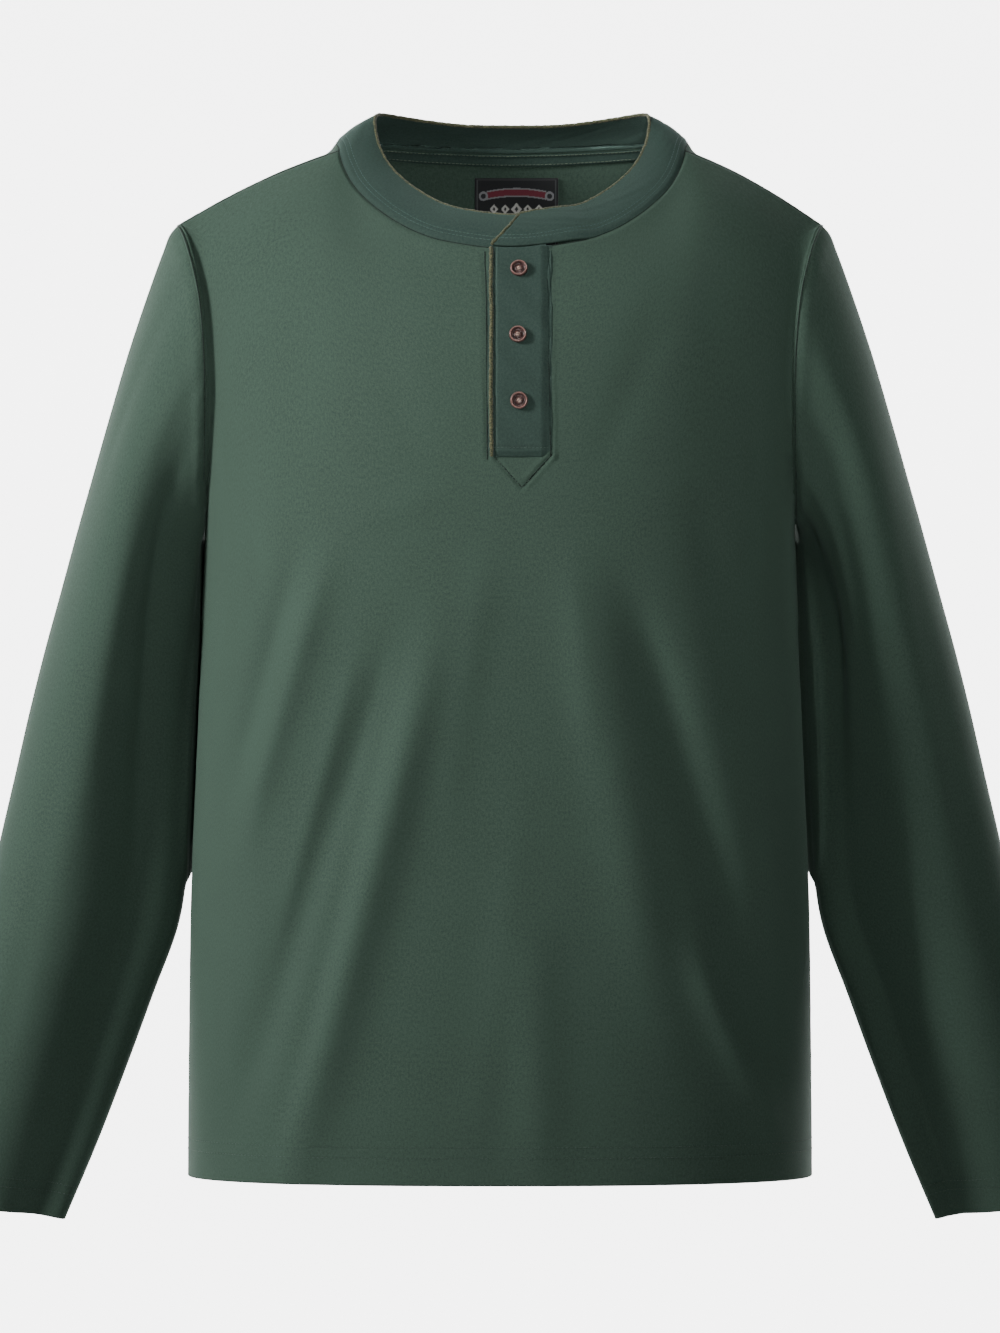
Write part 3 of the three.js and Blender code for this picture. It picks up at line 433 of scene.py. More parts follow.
def thread(face, side, edge, levels):
    """One upright thread of a panel from the hem, level 0, to the top edge, level 1."""
    share = float(share_of(face, edge))
    yoke_z = CHEST_Z - SIDE_DROP * float(smooth(share, 0.5, 1))
    shift = NECK_SHIFT * (1 - share) ** 2
    low = section_point(face, side, share, HEM_Z + (yoke_z - HEM_Z) * np.minimum(levels / YOKE_START, 1))
    low[:, 0] += shift * smooth(levels, 0, YOKE_START)
    start = section_point(face, side, share, yoke_z)[0] + (shift, 0, 0)
    end = panel_top(face, side, edge)
    reach = np.linalg.norm(end - start)
    lean = np.array([face["lean"].read(axis, edge, "edge") for axis in "xyz"]).reshape(3) * (side, 1, 1)
    arrive = end - lean / np.linalg.norm(lean) * float(face["lean"].read("hold", edge, "edge"))
    rise = start + (0, 0, RISE_SHARE * reach)
    t = np.clip((levels - YOKE_START) / (1 - YOKE_START), 0, 1)[:, None]
    high = start * (1 - t) ** 3 + rise * 3 * t * (1 - t) ** 2 + arrive * 3 * t**2 * (1 - t) + end * t**3
    return np.where((levels <= YOKE_START)[:, None], low, high)


def coarse_panel(face):
    """Rows from the hem up, columns from left to right as seen from outside."""
    count = columns_of(face)
    rows = BODY_ROWS + YOKE_ROWS
    levels = np.arange(rows + 1) / rows
    grid = np.stack([thread(face, -face["sign"] * (np.sign(i) or -face["sign"]), abs(i), levels)
                     for i in range(-count, count + 1)], axis=1)
    for _ in range(YOKE_EASE):
        middle = (grid[BODY_ROWS:-1, :-2] + grid[BODY_ROWS:-1, 2:]
                  + grid[BODY_ROWS - 1:-2, 1:-1] + grid[BODY_ROWS + 1:, 1:-1]) / 4
        grid[BODY_ROWS:-1, 1:-1] = (grid[BODY_ROWS:-1, 1:-1] + middle) / 2
    if face is BACK:
        rise = np.maximum(SHOULDER_LIFT.read("rise", np.abs(np.arange(-count, count + 1)), "edge"), 0)
        share = np.maximum(LIFT_BY_ROW.read("share", np.arange(rows, -1, -1), "below"), 0)
        grid[..., 2] += share[:, None] * rise[None]
    return grid


def normals_of(grid, closed):
    """Outward direction at each point of a grid, from its neighbours."""
    if closed:
        across = np.roll(grid, -1, axis=1) - np.roll(grid, 1, axis=1)
    else:
        across = np.gradient(grid, axis=1)
    out = np.cross(across, np.gradient(grid, axis=0))
    return out / np.maximum(np.linalg.norm(out, axis=2, keepdims=True), 1e-9)


def refine(grid, columns, rows, closed):
    """The same surface read at more places. Columns and rows are counted in the coarse grid's."""
    tall = catmull(grid, rows, False)
    return catmull(tall.transpose(1, 0, 2), columns, closed).transpose(1, 0, 2)


# %% [markdown]
# A fine grid needs most points where something small happens: next to the seams, at the hem, and
# round the foot of the placket, where the stitched point presses into the cloth. So the places at
# which the surface is read stand closer together there.

# %% Fine grid of a panel
SEAM_DEPTH = 1.2  # how far the cloth dips into a seam
SEAM_REACH = 2.2
NEAR_SEAM = (0.05, 0.1, 0.17, 0.27, 0.42, 0.68)  # places next to a seam, in coarse cells


def places(count, dense):
    """Places from 0 to count: dense gives (from, to, number for each coarse cell)."""
    made = [0.0]
    for cell in range(count):
        number = next((n for low, high, n in dense if low <= cell < high), dense[-1][2])
        made.extend(cell + (k + 1) / number for k in range(number))
    return np.array(made)


def fine_panel(face, columns, rows):
    coarse = coarse_panel(face)
    count = columns_of(face)
    last = len(coarse) - 1
    grid = refine(coarse, columns, rows, False)
    # The exact seam line replaces the top row, and the row's change fades out below it
    edges = columns - count
    exact = np.array([panel_top(face, -face["sign"] * (np.sign(e) or -face["sign"]), abs(e)) for e in edges])
    fade = np.clip(rows - (last - 2), 0, 2)[:, None, None] / 2
    grid = grid + (exact - grid[-1])[None] * fade**2
    share = share_of(face, np.abs(edges))[None, :]
    calm = 1 - smooth(share, 1 - SIDE_CALM, 1)
    near_top = smooth(last - rows, 0, 1.5)[:, None]
    folds = sum(fold_height(table, grid[..., 0], grid[..., 2]) for table in face["folds"])
    grid = grid + normals_of(grid, False) * (calm * near_top * folds)[..., None]
    return sink_seams(grid, face, edges)


def arc_lengths(grid, axis):
    """Distance from the first point along an axis of a grid."""
    steps = np.linalg.norm(np.diff(grid, axis=axis), axis=2)
    pad = [(0, 0), (0, 0)]
    pad[axis] = (1, 0)
    return np.cumsum(np.pad(steps, pad), axis=axis)


def sink_seams(grid, face, edges):
    """The cloth dips into its seams, and puckers a little beside them."""
    up = arc_lengths(grid, 0)
    across = arc_lengths(grid, 1)
    to_top = up[-1][None] - up
    to_side = np.minimum(across, across[:, -1:] - across)
    dip = SEAM_DEPTH * (np.exp(-((to_top / SEAM_REACH) ** 2)) + np.exp(-((to_side / SEAM_REACH) ** 2)))
    along_top = arc_lengths(grid[-1:], 1)
    on_armhole = smooth(np.abs(edges), face["neck"] + SHOULDER, face["neck"] + SHOULDER + 1.5)[None]
    pucker = ripple(along_top, 3 + face["neck"], 17) * (0.12 + 0.5 * on_armhole) * np.exp(-to_top / 9)
    pucker = pucker * smooth(to_top, 0, 4)
    side_pucker = ripple(up, 8 + face["neck"], 23) * 0.35 * np.exp(-to_side / 8) * smooth(to_side, 0, 4)
    return grid + normals_of(grid, False) * (pucker + side_pucker - dip)[..., None]


# %% [markdown]
# The placket ends in a stitched point, and its left seam shows as a line. The thread pulls a narrow
# groove into the front there, and the cloth swells a little beside it.

# %% Grooves round the placket's foot
PLACKET_RIGHT_X = -8.5
PLACKET_EDGE_X = -4.6
PLACKET_LEFT_X = 33
PLACKET_FOOT_Z = -211
POINT_LINE = [place_of_pixel(495, 458), place_of_pixel(522, 487.5), place_of_pixel(551.5, 455)]
RIGHT_SEAM_LINE = [place_of_pixel(484.6, 250), place_of_pixel(486.2, 300), place_of_pixel(487.2, 458)]
LEFT_SEAM_LINE = [place_of_pixel(548.5, 250), place_of_pixel(549.5, 350), place_of_pixel(551.8, 455)]


def distance_to_line(x, z, line):
    """Distance to a bent line of the front view, and on which side of it a place lies."""
    best, sign = np.full_like(x, 1e9), np.zeros_like(x)
    for (ax, az), (bx, bz) in zip(line, line[1:]):
        run_x, run_z = bx - ax, bz - az
        t = np.clip(((x - ax) * run_x + (z - az) * run_z) / (run_x**2 + run_z**2), 0, 1)
        gap = np.hypot(x - ax - t * run_x, z - az - t * run_z)
        nearer = gap < best
        best = np.where(nearer, gap, best)
        sign = np.where(nearer, np.sign((x - ax) * run_z - (z - az) * run_x), sign)
    return best, sign


def groove(grid, line, depth, width, swell):
    gap, side = distance_to_line(grid[..., 0], grid[..., 2], line)
    beside = (gap - 2.2 * width) / (1.4 * width)
    shape = -depth * np.exp(-((gap / width) ** 2)) + swell * np.exp(-(beside**2))
    return grid + normals_of(grid, False) * shape[..., None]


front_columns = places(2 * columns_of(FRONT), [(19, 27, 12), (0, 3, 7), (43, 46, 7), (3, 43, 5)])
front_rows = places(BODY_ROWS + YOKE_ROWS, [(0, 9, 5), (9, 10, 8), (10, 13, 16), (13, 18, 7), (18, 19, 3)])
front_rows = np.unique(np.concatenate([front_rows, 19 - np.array(NEAR_SEAM), (0.02, 0.05, 0.1)]))
front_grid = fine_panel(FRONT, front_columns, front_rows)
front_grid = groove(front_grid, POINT_LINE, 1.1, 0.9, 0.6)
front_grid = groove(front_grid, RIGHT_SEAM_LINE, 1.1, 1.0, 0.2)
front_grid = groove(front_grid, LEFT_SEAM_LINE, 0.4, 0.8, 0.6)

back_columns = places(2 * columns_of(BACK), [(0, 3, 7), (39, 42, 7), (3, 39, 5)])
back_rows = np.unique(np.concatenate([
    places(BODY_ROWS + YOKE_ROWS, [(0, 9, 5), (9, 19, 7)]), 19 - np.array(NEAR_SEAM), (0.02, 0.05, 0.1)]))
back_grid = fine_panel(BACK, back_columns, back_rows)
print("front grid", front_grid.shape[:2], "back grid", back_grid.shape[:2])

# %% [markdown]
# ## Sleeves
# A sleeve is a tube whose ring is the armhole at the top and a flat oval at the cuff. The rings
# between are ovals from an outer to an inner edge, and the armhole's own shape fades out down the arm.

# %% Sleeve rings
SLEEVE = Table("outerX outerZ innerX innerZ depth midY", [
    (214, -56, 196, -256, 58, 0),
    (222, -70, 198, -258.5, 59, 1),
    (233, -99, 199.3, -263, 60, 3),
    (247, -140, 200.5, -271, 61, 6),
    (259, -180, 201.5, -283, 62, 9),
    (270.5, -220, 202.3, -299, 62, 12),
    (282, -260, 203.1, -321, 61, 15),
    (293, -300, 203.9, -348, 59, 17),
    (304, -340, 204.6, -379, 56, 18),
    (314, -380, 205.3, -412, 52, 18),
    (323, -420, 206.2, -447, 50, 16),
    (333, -464, 208, -484, 47, 13),
    (343, -510, 214, -523, 44, 10),
    (352.5, -557, 230, -567, 40, 6),
    (361, -605, 247.5, -615, 35, 2),
    (368.5, -655, 267, -666, 28, -2),
    (375, -704, 288.5, -717, 20, -6),
])
SLEEVE_RINGS = 22
CAP_FADE = 0.3
TUCK = 45
TUCK_CLEAR = 2.5
TUCK_GROWS = (0.14, 0.3)
TUCK_FADES = (0.64, 0.71)
TUCK_DEPTHS = (-5, 35)
CAP_SWELL, CAP_AT, CAP_WIDTH = 0.9, 9, 7


def torso_side(y, z):
    """How far out the torso's side stands at a depth and height."""
    depth = np.where(y < 0, BODY.read("front", z, "z"), BODY.read("back", z, "z"))
    inside = 1 - np.minimum(np.abs(y) / depth, 1) ** SECTION_POWER
    return BODY.read("half", z, "z") * inside ** (1 / SECTION_POWER)


def sleeve_ring(along, turns):
    """The ring of a left sleeve at a place along it. Turns run from the outer edge round the front."""
    row = along * (len(SLEEVE.rows) - 1)
    at = {name: float(SLEEVE.read(name, row)) for name in SLEEVE.names}
    angle = turns * math.pi / ARMHOLE
    lean = (0.5 + 0.5 * np.cos(angle))[:, None]

    def oval(outer, inner, depth):
        ring = np.array(inner) * (1 - lean) + np.array(outer) * lean
        ring[:, 1] -= depth * np.sin(angle)
        return ring

    outer, inner = ((at[end + "X"], at["midY"], at[end + "Z"]) for end in ("outer", "inner"))
    ring = oval(outer, inner, at["depth"])
    if along < CAP_FADE:
        outer_x, outer_z, inner_x, inner_z, depth, mid_y = SLEEVE.rows[0]
        plain = oval((outer_x, mid_y, outer_z), (inner_x, mid_y, inner_z), depth)
        ring = ring + (armhole_point(turns) - plain) * (1 - float(smooth(along, 0, CAP_FADE)))
    # Behind the torso's widest line the inner side reaches in until the torso stops it
    kept = float(smooth(along, *TUCK_GROWS)) * (1 - float(smooth(along, *TUCK_FADES)))
    tuck = TUCK * kept * smooth(ring[:, 1], *TUCK_DEPTHS)
    reached = ring[:, 0] - tuck * (0.5 - 0.5 * np.cos(angle))
    stopped = np.maximum(reached, torso_side(ring[:, 1], ring[:, 2]) + TUCK_CLEAR)
    ring[:, 0] = np.where(tuck > 0, np.minimum(ring[:, 0], stopped), ring[:, 0])
    return ring


def sleeve_grid(creases):
    """Rows from the cuff up to the armhole, columns round the arm, as for the wearer's left."""
    turn_count = 2 * ARMHOLE
    turns = -np.arange(turn_count * 8) / 8
    rows = np.unique(np.concatenate([
        places(SLEEVE_RINGS, [(0, 1, 12), (1, 22, 6)]), 22 - np.array(NEAR_SEAM) * 0.8, (0.02, 0.05, 0.1)]))
    grid = np.stack([sleeve_ring(1 - row / SLEEVE_RINGS, turns) for row in rows])
    along = np.repeat((1 - rows / SLEEVE_RINGS)[:, None], len(turns), axis=1)
    degrees = np.repeat((-turns * 180 / ARMHOLE)[None], len(rows), axis=0)
    degrees = (360 - degrees) % 360
    folds = sleeve_fold_height(SLEEVE_FOLDS, along, degrees) + sleeve_fold_height(creases, along, degrees)
    grid = grid + normals_of(grid, True) * folds[..., None]
    up = arc_lengths(grid, 0)
    to_top = up[-1][None] - up
    round_it = np.repeat(np.linspace(0, 480, len(turns), endpoint=False)[None], len(rows), axis=0)
    pucker = ripple(round_it, 21, 19) * 0.55 * np.exp(-to_top / 12) * smooth(to_top, 0, 4)
    # The sleeve swells a little beyond the armhole seam
    cap = CAP_SWELL * np.exp(-(((to_top - CAP_AT) / CAP_WIDTH) ** 2))
    cap = cap - SEAM_DEPTH * np.exp(-((to_top / SEAM_REACH) ** 2))
    # The underarm seam runs down the inner edge
    inner = np.abs(degrees - 180) / 360 * 400
    seam = 0.7 * np.exp(-((inner / 2.5) ** 2))
    return grid + normals_of(grid, True) * (pucker + cap - seam)[..., None]


left_sleeve_grid = sleeve_grid(LEFT_SLEEVE_CREASES)
right_sleeve_grid = (sleeve_grid(RIGHT_SLEEVE_CREASES) * (-1, 1, 1))[:, ::-1]
print("sleeve grid", left_sleeve_grid.shape[:2])

# %% [markdown]
# ## From a grid to cloth
# Cloth has two sides and a rounded edge. The outer grid is moved inwards by the cloth's thickness for
# the inner side, and one more line of points round the rim, half way and a little out, makes the edge
# round. A Solidify modifier could do it too, but here the pieces meet at seams and need exact edges.
# Each point also gets a place on the flat cloth in millimetres, which carries the knit.

# %% Make a cloth object
CLOTH = 1.2
BAND = 1.6
TAPE = 0.8
UNDER_STRIP = 0.9
OVER_STRIP = 1.2
LABEL = 0.6
RIM_OUT = 0.5  # how far the rounded edge stands out, in thicknesses


def rim_loop(rows, columns, closed):
    """Loops of grid places round the rim, anticlockwise as seen from outside."""
    if closed:
        bottom = [(0, i) for i in range(columns)]
        return [bottom, [(rows - 1, i) for i in reversed(range(columns))]]
    loop = [(0, i) for i in range(columns - 1)]
    loop += [(j, columns - 1) for j in range(rows - 1)]
    loop += [(rows - 1, i) for i in range(columns - 1, 0, -1)]
    return [loop + [(j, 0) for j in range(rows - 1, 0, -1)]]


def out_of_rim(grid, j, i, closed):
    """Direction away from the cloth at a place of its rim."""
    rows, columns = grid.shape[:2]
    away = np.zeros(3)
    if j == 0:
        away += grid[0, i] - grid[1, i]
    if j == rows - 1:
        away += grid[-1, i] - grid[-2, i]
    if not closed and i == 0:
        away += grid[j, 0] - grid[j, 1]
    if not closed and i == columns - 1:
        away += grid[j, -1] - grid[j, -2]
    return away / max(np.linalg.norm(away), 1e-9)


def link(name, mesh, material):
    mesh.materials.append(material)
    piece = bpy.data.objects.new(name, mesh)
    bpy.context.scene.collection.objects.link(piece)
    return piece


def mesh_of(name, points, faces):
    mesh = bpy.data.meshes.new(name)
    mesh.from_pydata((np.asarray(points) * MM).tolist(), [], faces)
    mesh.shade_smooth()
    mesh.update()
    return mesh


def cloth(name, grid, thickness, material, closed=False):
    rows, columns = grid.shape[:2]
    normals = normals_of(grid, closed)
    inner = grid - normals * thickness
    number = np.arange(rows * columns).reshape(rows, columns)
    spans = columns if closed else columns - 1
    k = (np.arange(spans) + 1) % columns
    quads = np.stack([number[:-1, :spans], number[:-1][:, k], number[1:][:, k], number[1:, :spans]], axis=-1)
    outer_faces = quads.reshape(-1, 4)
    inner_faces = outer_faces[:, ::-1] + rows * columns
    points = [grid.reshape(-1, 3), inner.reshape(-1, 3)]
    faces = outer_faces.tolist() + inner_faces.tolist()
    base = 2 * rows * columns
    for loop in rim_loop(rows, columns, closed):
        middle = [(grid[j, i] + inner[j, i]) / 2 + out_of_rim(grid, j, i, closed) * thickness * RIM_OUT
                  for j, i in loop]
        points.append(np.array(middle))
        for n, (j, i) in enumerate(loop):
            m = (n + 1) % len(loop)
            a, b = number[j, i], number[loop[m]]
            faces.append([int(b), int(a), base + n, base + m])
            faces.append([base + m, base + n, int(a) + rows * columns, int(b) + rows * columns])
        base += len(loop)
    mesh = mesh_of(name, np.concatenate(points), faces)
    flat = np.stack([arc_lengths(grid, 1).mean(axis=0)[None].repeat(rows, 0),
                     arc_lengths(grid, 0).mean(axis=1)[:, None].repeat(columns, 1)], axis=-1).reshape(-1, 2)
    flat = np.concatenate([flat, flat] + [np.array([flat[number[place]] for place in loop])
                                          for loop in rim_loop(rows, columns, closed)])
    add_flat_places(mesh, flat, arc_lengths(grid, 1).mean(axis=0).max() if closed else None)
    piece = link(name, mesh, material)
    print(name, "has", len(mesh.polygons), "faces")
    return piece


def add_flat_places(mesh, flat, round_it):
    """Stores the flat place in millimetres as a UV map. On a tube the seam's faces are unrolled."""
    layer = mesh.uv_layers.new(name="flat")
    corners = np.empty(len(mesh.loops), np.int32)
    mesh.loops.foreach_get("vertex_index", corners)
    uv = flat[corners]
    if round_it:
        starts = np.empty(len(mesh.polygons), np.int32)
        mesh.polygons.foreach_get("loop_start", starts)
        for corner in range(4):
            jump = uv[starts, 0] - uv[starts + corner, 0]
            uv[starts + corner, 0] += round_it * ((jump > round_it / 2) - 1.0 * (jump < -round_it / 2))
    layer.data.foreach_set("uv", uv.astype(np.float32).ravel())


# %% [markdown]
# ## Jersey
# The cloth is a plain knit in dark green with a slightly heathered surface: fine upright ribs of
# stitches, small lighter and darker fibres, a matt face and a faint bloom where light grazes it. The
# ribs and fibres are drawn in the flat places of the cloth, so they follow every fold. The band and
# the placket strips are cut from the same yarn in a firmer, finer and bluer rib.

# %% Knitted material
def node(tree, kind, inputs=(), **settings):
    """A node with its settings made and its inputs set or linked. Inputs are pairs of name and value."""
    made = tree.nodes.new(kind)
    for name, value in settings.items():
        setattr(made, name, value)
    for name, value in dict(inputs).items():
        if isinstance(value, bpy.types.NodeSocket):
            tree.links.new(value, made.inputs[name])
        else:
            made.inputs[name].default_value = value
    return made


def mix_colour(tree, factor, first, second):
    """Two colours mixed by a factor that may vary over the surface."""
    return node(tree, "ShaderNodeMix", {0: factor, 6: first, 7: second}, data_type="RGBA").outputs[2]


def ramp(tree, factor, low, high):
    """0 below low and 1 above high."""
    spread = node(tree, "ShaderNodeMapRange", {"Value": factor, "From Min": low, "From Max": high})
    return spread.outputs["Result"]


def noise(tree, place, scale, detail=2, roughness=0.5):
    """Cloudy values from 0 to 1 over a place."""
    return node(tree, "ShaderNodeTexNoise", {"Vector": place, "Scale": scale, "Detail": detail,
                                             "Roughness": roughness}).outputs["Fac"]


def press(tree, shader, height, strength, distance):
    """Lets a height, distance millimetres deep, bend the shading."""
    bump = node(tree, "ShaderNodeBump", {"Strength": strength, "Distance": distance * MM, "Height": height})
    tree.links.new(bump.outputs[0], shader.inputs["Normal"])


def new_material(name, roughness, sheen=0.0, sheen_roughness=0.5, sheen_tint=(1, 1, 1, 1), specular=0.3):
    material = bpy.data.materials.new(name)
    material.use_nodes = True
    tree = material.node_tree
    tree.nodes.clear()
    shader = node(tree, "ShaderNodeBsdfPrincipled", {
        "Roughness": roughness, "Sheen Weight": sheen, "Sheen Roughness": sheen_roughness,
        "Sheen Tint": sheen_tint, "Specular IOR Level": specular})
    node(tree, "ShaderNodeOutputMaterial", {"Surface": shader.outputs[0]})
    return material, tree, shader


def flat_places(tree, across, along):
    """The cloth's own places, stretched so that one unit is one stitch."""
    uv = node(tree, "ShaderNodeUVMap", uv_map="flat")
    scale = (1 / across, 1 / along, 1)
    return node(tree, "ShaderNodeMapping", {"Vector": uv.outputs[0], "Scale": scale}).outputs[0]


def waves(tree, place, direction, values):
    """Even bands across a place, a little bent."""
    return node(tree, "ShaderNodeTexWave", {"Vector": place, **values}, wave_type="BANDS",
                bands_direction=direction, wave_profile="SIN").outputs["Fac"]


def knit(name, dark, light, fleck, rib, sheen, tint, bump_height):
    """A knit with upright ribs of stitches, rib millimetres apart."""
    material, tree, shader = new_material(name, 0.88, sheen, 0.42, tint, 0.22)
    stitches = flat_places(tree, rib, rib * 0.75)
    millimetres = flat_places(tree, 1, 1)
    band = 1 / math.pi * 1.5
    wales = waves(tree, stitches, "X", {"Scale": band, "Distortion": 1.2, "Detail": 2, "Detail Scale": 0.8})
    courses = waves(tree, stitches, "Y", {"Scale": band, "Distortion": 1.6, "Detail": 2})
    fibres = noise(tree, millimetres, 1.3, 4, 0.7)
    clouds = noise(tree, millimetres, 0.035, 3)
    streaks = noise(tree, flat_places(tree, 1.5, 2.1), 1.0, 4, 0.75)

    ground = mix_colour(tree, ramp(tree, fibres, 0.3, 0.72), dark, light)
    flecked = mix_colour(tree, ramp(tree, streaks, 0.38, 0.95), ground, fleck)
    ribbed = mix_colour(tree, ramp(tree, wales, 0.0, 0.55), dark, flecked)
    soft = mix_colour(tree, 0.62, ribbed, flecked)
    varied = mix_colour(tree, ramp(tree, clouds, 0.3, 0.75), soft, light)
    tree.links.new(mix_colour(tree, 0.22, soft, varied), shader.inputs["Base Color"])

    height = node(tree, "ShaderNodeMath", {0: wales, 1: 0.6, 2: courses}, operation="MULTIPLY_ADD")
    fuzzy = node(tree, "ShaderNodeMath", {0: height.outputs[0], 1: fibres}, operation="ADD")
    press(tree, shader, fuzzy.outputs[0], 0.35, bump_height)
    return material


def colour(red, green, blue):
    """A shader colour from 0 to 255 as a screen shows it."""
    def linear(value):
        value /= 255
        return value / 12.92 if value <= 0.04045 else ((value + 0.055) / 1.055) ** 2.4
    return (linear(red), linear(green), linear(blue), 1)


JERSEY = knit("jersey", colour(36, 51, 43), colour(56, 76, 65), colour(72, 90, 78), 0.95, 0.14,
              colour(150, 182, 165), 0.12)
RIB = knit("rib", colour(31, 46, 41), colour(46, 64, 57), colour(60, 77, 70), 0.8, 0.25,
           colour(150, 185, 175), 0.18)

# %% [markdown]
# ## Olive raw edge
# The band's top edge and the free edge of the placket are left raw. Knit cloth rolls there and shows
# its wrong side, which is lighter and olive, a little fuzzy and uneven. A tube that follows the edge,
# with a radius that wanders, is close to such a roll.

# %% Rolled edge and thread materials
def noisy(name, dark, light, scale, roughness, sheen, bump_height):
    """A plain material with small lighter and darker places, set in the object's own space."""
    material, tree, shader = new_material(name, roughness, sheen, 0.5, (1, 1, 1, 1), 0.25)
    spots = noise(tree, node(tree, "ShaderNodeTexCoord").outputs["Object"], scale, 4)
    tree.links.new(mix_colour(tree, ramp(tree, spots, 0.35, 0.68), dark, light), shader.inputs["Base Color"])
    press(tree, shader, spots, 0.6, bump_height)
    return material


ROLLED = noisy("rolled_edge", colour(40, 46, 32), colour(92, 92, 66), 900, 0.95, 0.15, 0.4)
THREAD = noisy("thread", colour(38, 54, 46), colour(60, 80, 68), 1500, 0.8, 0.2, 0.1)
LIGHT_THREAD = noisy("tape_thread", colour(62, 76, 62), colour(96, 108, 90), 1500, 0.8, 0.2, 0.1)
BAND_THREAD = noisy("band_thread", colour(44, 66, 62), colour(62, 90, 84), 1500, 0.8, 0.2, 0.1)
BUTTON_THREAD = noisy("button_thread", colour(120, 96, 84), colour(176, 150, 136), 2500, 0.8, 0.2, 0.1)

# %% Panels and sleeves as cloth
pieces = {}
pieces["front"] = cloth("front_cloth", front_grid, CLOTH, JERSEY)
pieces["back"] = cloth("back_cloth", back_grid, CLOTH, JERSEY)
pieces["sleeve_left"] = cloth("sleeve_left_cloth", left_sleeve_grid, CLOTH, JERSEY, closed=True)
pieces["sleeve_right"] = cloth("sleeve_right_cloth", right_sleeve_grid, CLOTH, JERSEY, closed=True)

# %% [markdown]
# ## Neckband
# The band stands up from the neck seam and leans in. It is one strip, folded and sewn on with its
# left end lapping over the right one at the placket. It follows the same ring as the solid, with more
# rows, a soft dip in the seam at its foot and slight waves where the seam pulls it.

# %% Band grid
UNDER_END = -0.5
OVER_END_FOOT = 0.3
OVER_END_TOP = -0.2
LAP_STEP = 2.7
LAP_EASE = 1.1
LAP_FULL_AT = FULL_RING + UNDER_END - 0.3
LAP_CLEAR = 1.2
BAND_BULGE = 1.6
BAND_ROWS = (6.2, 9.4)  # heights of the cover stitches above the seam


def band_points(rows, heights):
    """Places of the band's outer side: rows round the neck, heights from its seam to its top edge."""
    rows, heights = np.asarray(rows, float), np.asarray(heights, float)[:, None]
    seam, top = neck_seam(rows), band_top(rows)
    along = neck_seam(rows + 0.05) - neck_seam(rows - 0.05)
    rise = top - seam
    rise /= np.linalg.norm(rise, axis=1, keepdims=True)
    out = np.cross(rise, along)
    out /= np.linalg.norm(out, axis=1, keepdims=True)
    lapped = smooth(rows, LAP_FULL_AT - LAP_EASE, LAP_FULL_AT)[:, None]
    point = seam + (top - seam) * heights
    point = point + out * (BAND_BULGE * np.sin(np.pi * heights) + LAP_STEP * lapped)
    return point + rise * LAP_CLEAR * lapped * (1 - heights)


def band_grid(row_count=420, height_count=22):
    heights = np.unique(np.concatenate([np.linspace(0, 1, height_count), (0.02, 0.05, 0.09, 0.13, 0.97)]))
    ends = FULL_RING + OVER_END_FOOT + (OVER_END_TOP - OVER_END_FOOT) * heights
    spread = np.linspace(0, 1, row_count)
    grid = []
    for height, end in zip(heights, ends):
        rows = UNDER_END + (end - UNDER_END) * spread
        grid.append(band_points(rows, [height]))
    grid = np.array(grid)
    up = arc_lengths(grid, 0)
    dip = SEAM_DEPTH * np.exp(-((up / SEAM_REACH) ** 2))
    wave = ripple(arc_lengths(grid, 1), 31, 26) * 0.28 * np.sin(np.pi * np.clip(heights, 0, 1))[:, None]
    normals = -normals_of(grid, False)
    # A line of cover stitches runs round the band a little above the seam and presses into it
    pressed = sum(0.22 * np.exp(-(((up - row) / 0.9) ** 2)) for row in BAND_ROWS)
    grid = grid + normals * (wave - dip - pressed)[..., None]
    return grid[:, ::-1]


band = band_grid()
pieces["neckband"] = cloth("neckband_cloth", band, BAND, RIB)

# %% [markdown]
# ## Placket strips
# The lower strip fills the slot and carries the buttons. The upper one lies on it. Both lie on the
# front, so their points are looked up on the front cloth and moved out. The free edge of the upper
# strip turns under, which leaves a narrow shaded dip beside the olive roll.

# %% Look up places on a cloth
def tree_of(piece):
    mesh = piece.data
    return BVHTree.FromPolygons([v.co[:] for v in mesh.vertices], [p.vertices[:] for p in mesh.polygons])


front_surface = tree_of(pieces["front"])
back_surface = tree_of(pieces["back"])


def hits(surface, from_y, across, heights):
    """Points of a surface looked for along y. across and heights are in millimetres."""
    toward = Vector((0, -1 if from_y > 0 else 1, 0))
    found = np.empty(heights.shape + (3,))
    for (j, i), z in np.ndenumerate(heights):
        hit = surface.ray_cast(Vector((across[i], from_y, z)) * MM, toward)[0]
        found[j, i] = np.array(hit) / MM
    return found


def seam_height(x):
    """Height of the neck seam's front above a place across the placket."""
    return neck_seam(-np.abs(np.asarray(x) - NECK_SHIFT) / 41)[:, 2]


def laid_strip(across, foot, top_gap, rows, lift, profile=None):
    """A strip that lies on the front: a smoothed copy of the front's places, moved out."""
    top = seam_height(across) - top_gap
    t = np.linspace(0, 1, rows)[:, None]
    heights = foot + (top[None] - foot) * t
    grid = hits(front_surface, -300, across, heights)
    for _ in range(30):
        grid[:, 1:-1, 1] = (grid[:, 1:-1, 1] * 2 + grid[:, :-2, 1] + grid[:, 2:, 1]) / 4
        grid[1:-1, :, 1] = (grid[1:-1, :, 1] * 2 + grid[:-2, :, 1] + grid[2:, :, 1]) / 4
    raised = np.full(grid.shape[:2], lift)
    if profile is not None:
        raised = raised + profile(grid[..., 0], grid[..., 2])
    return grid + normals_of(grid, False) * raised[..., None]


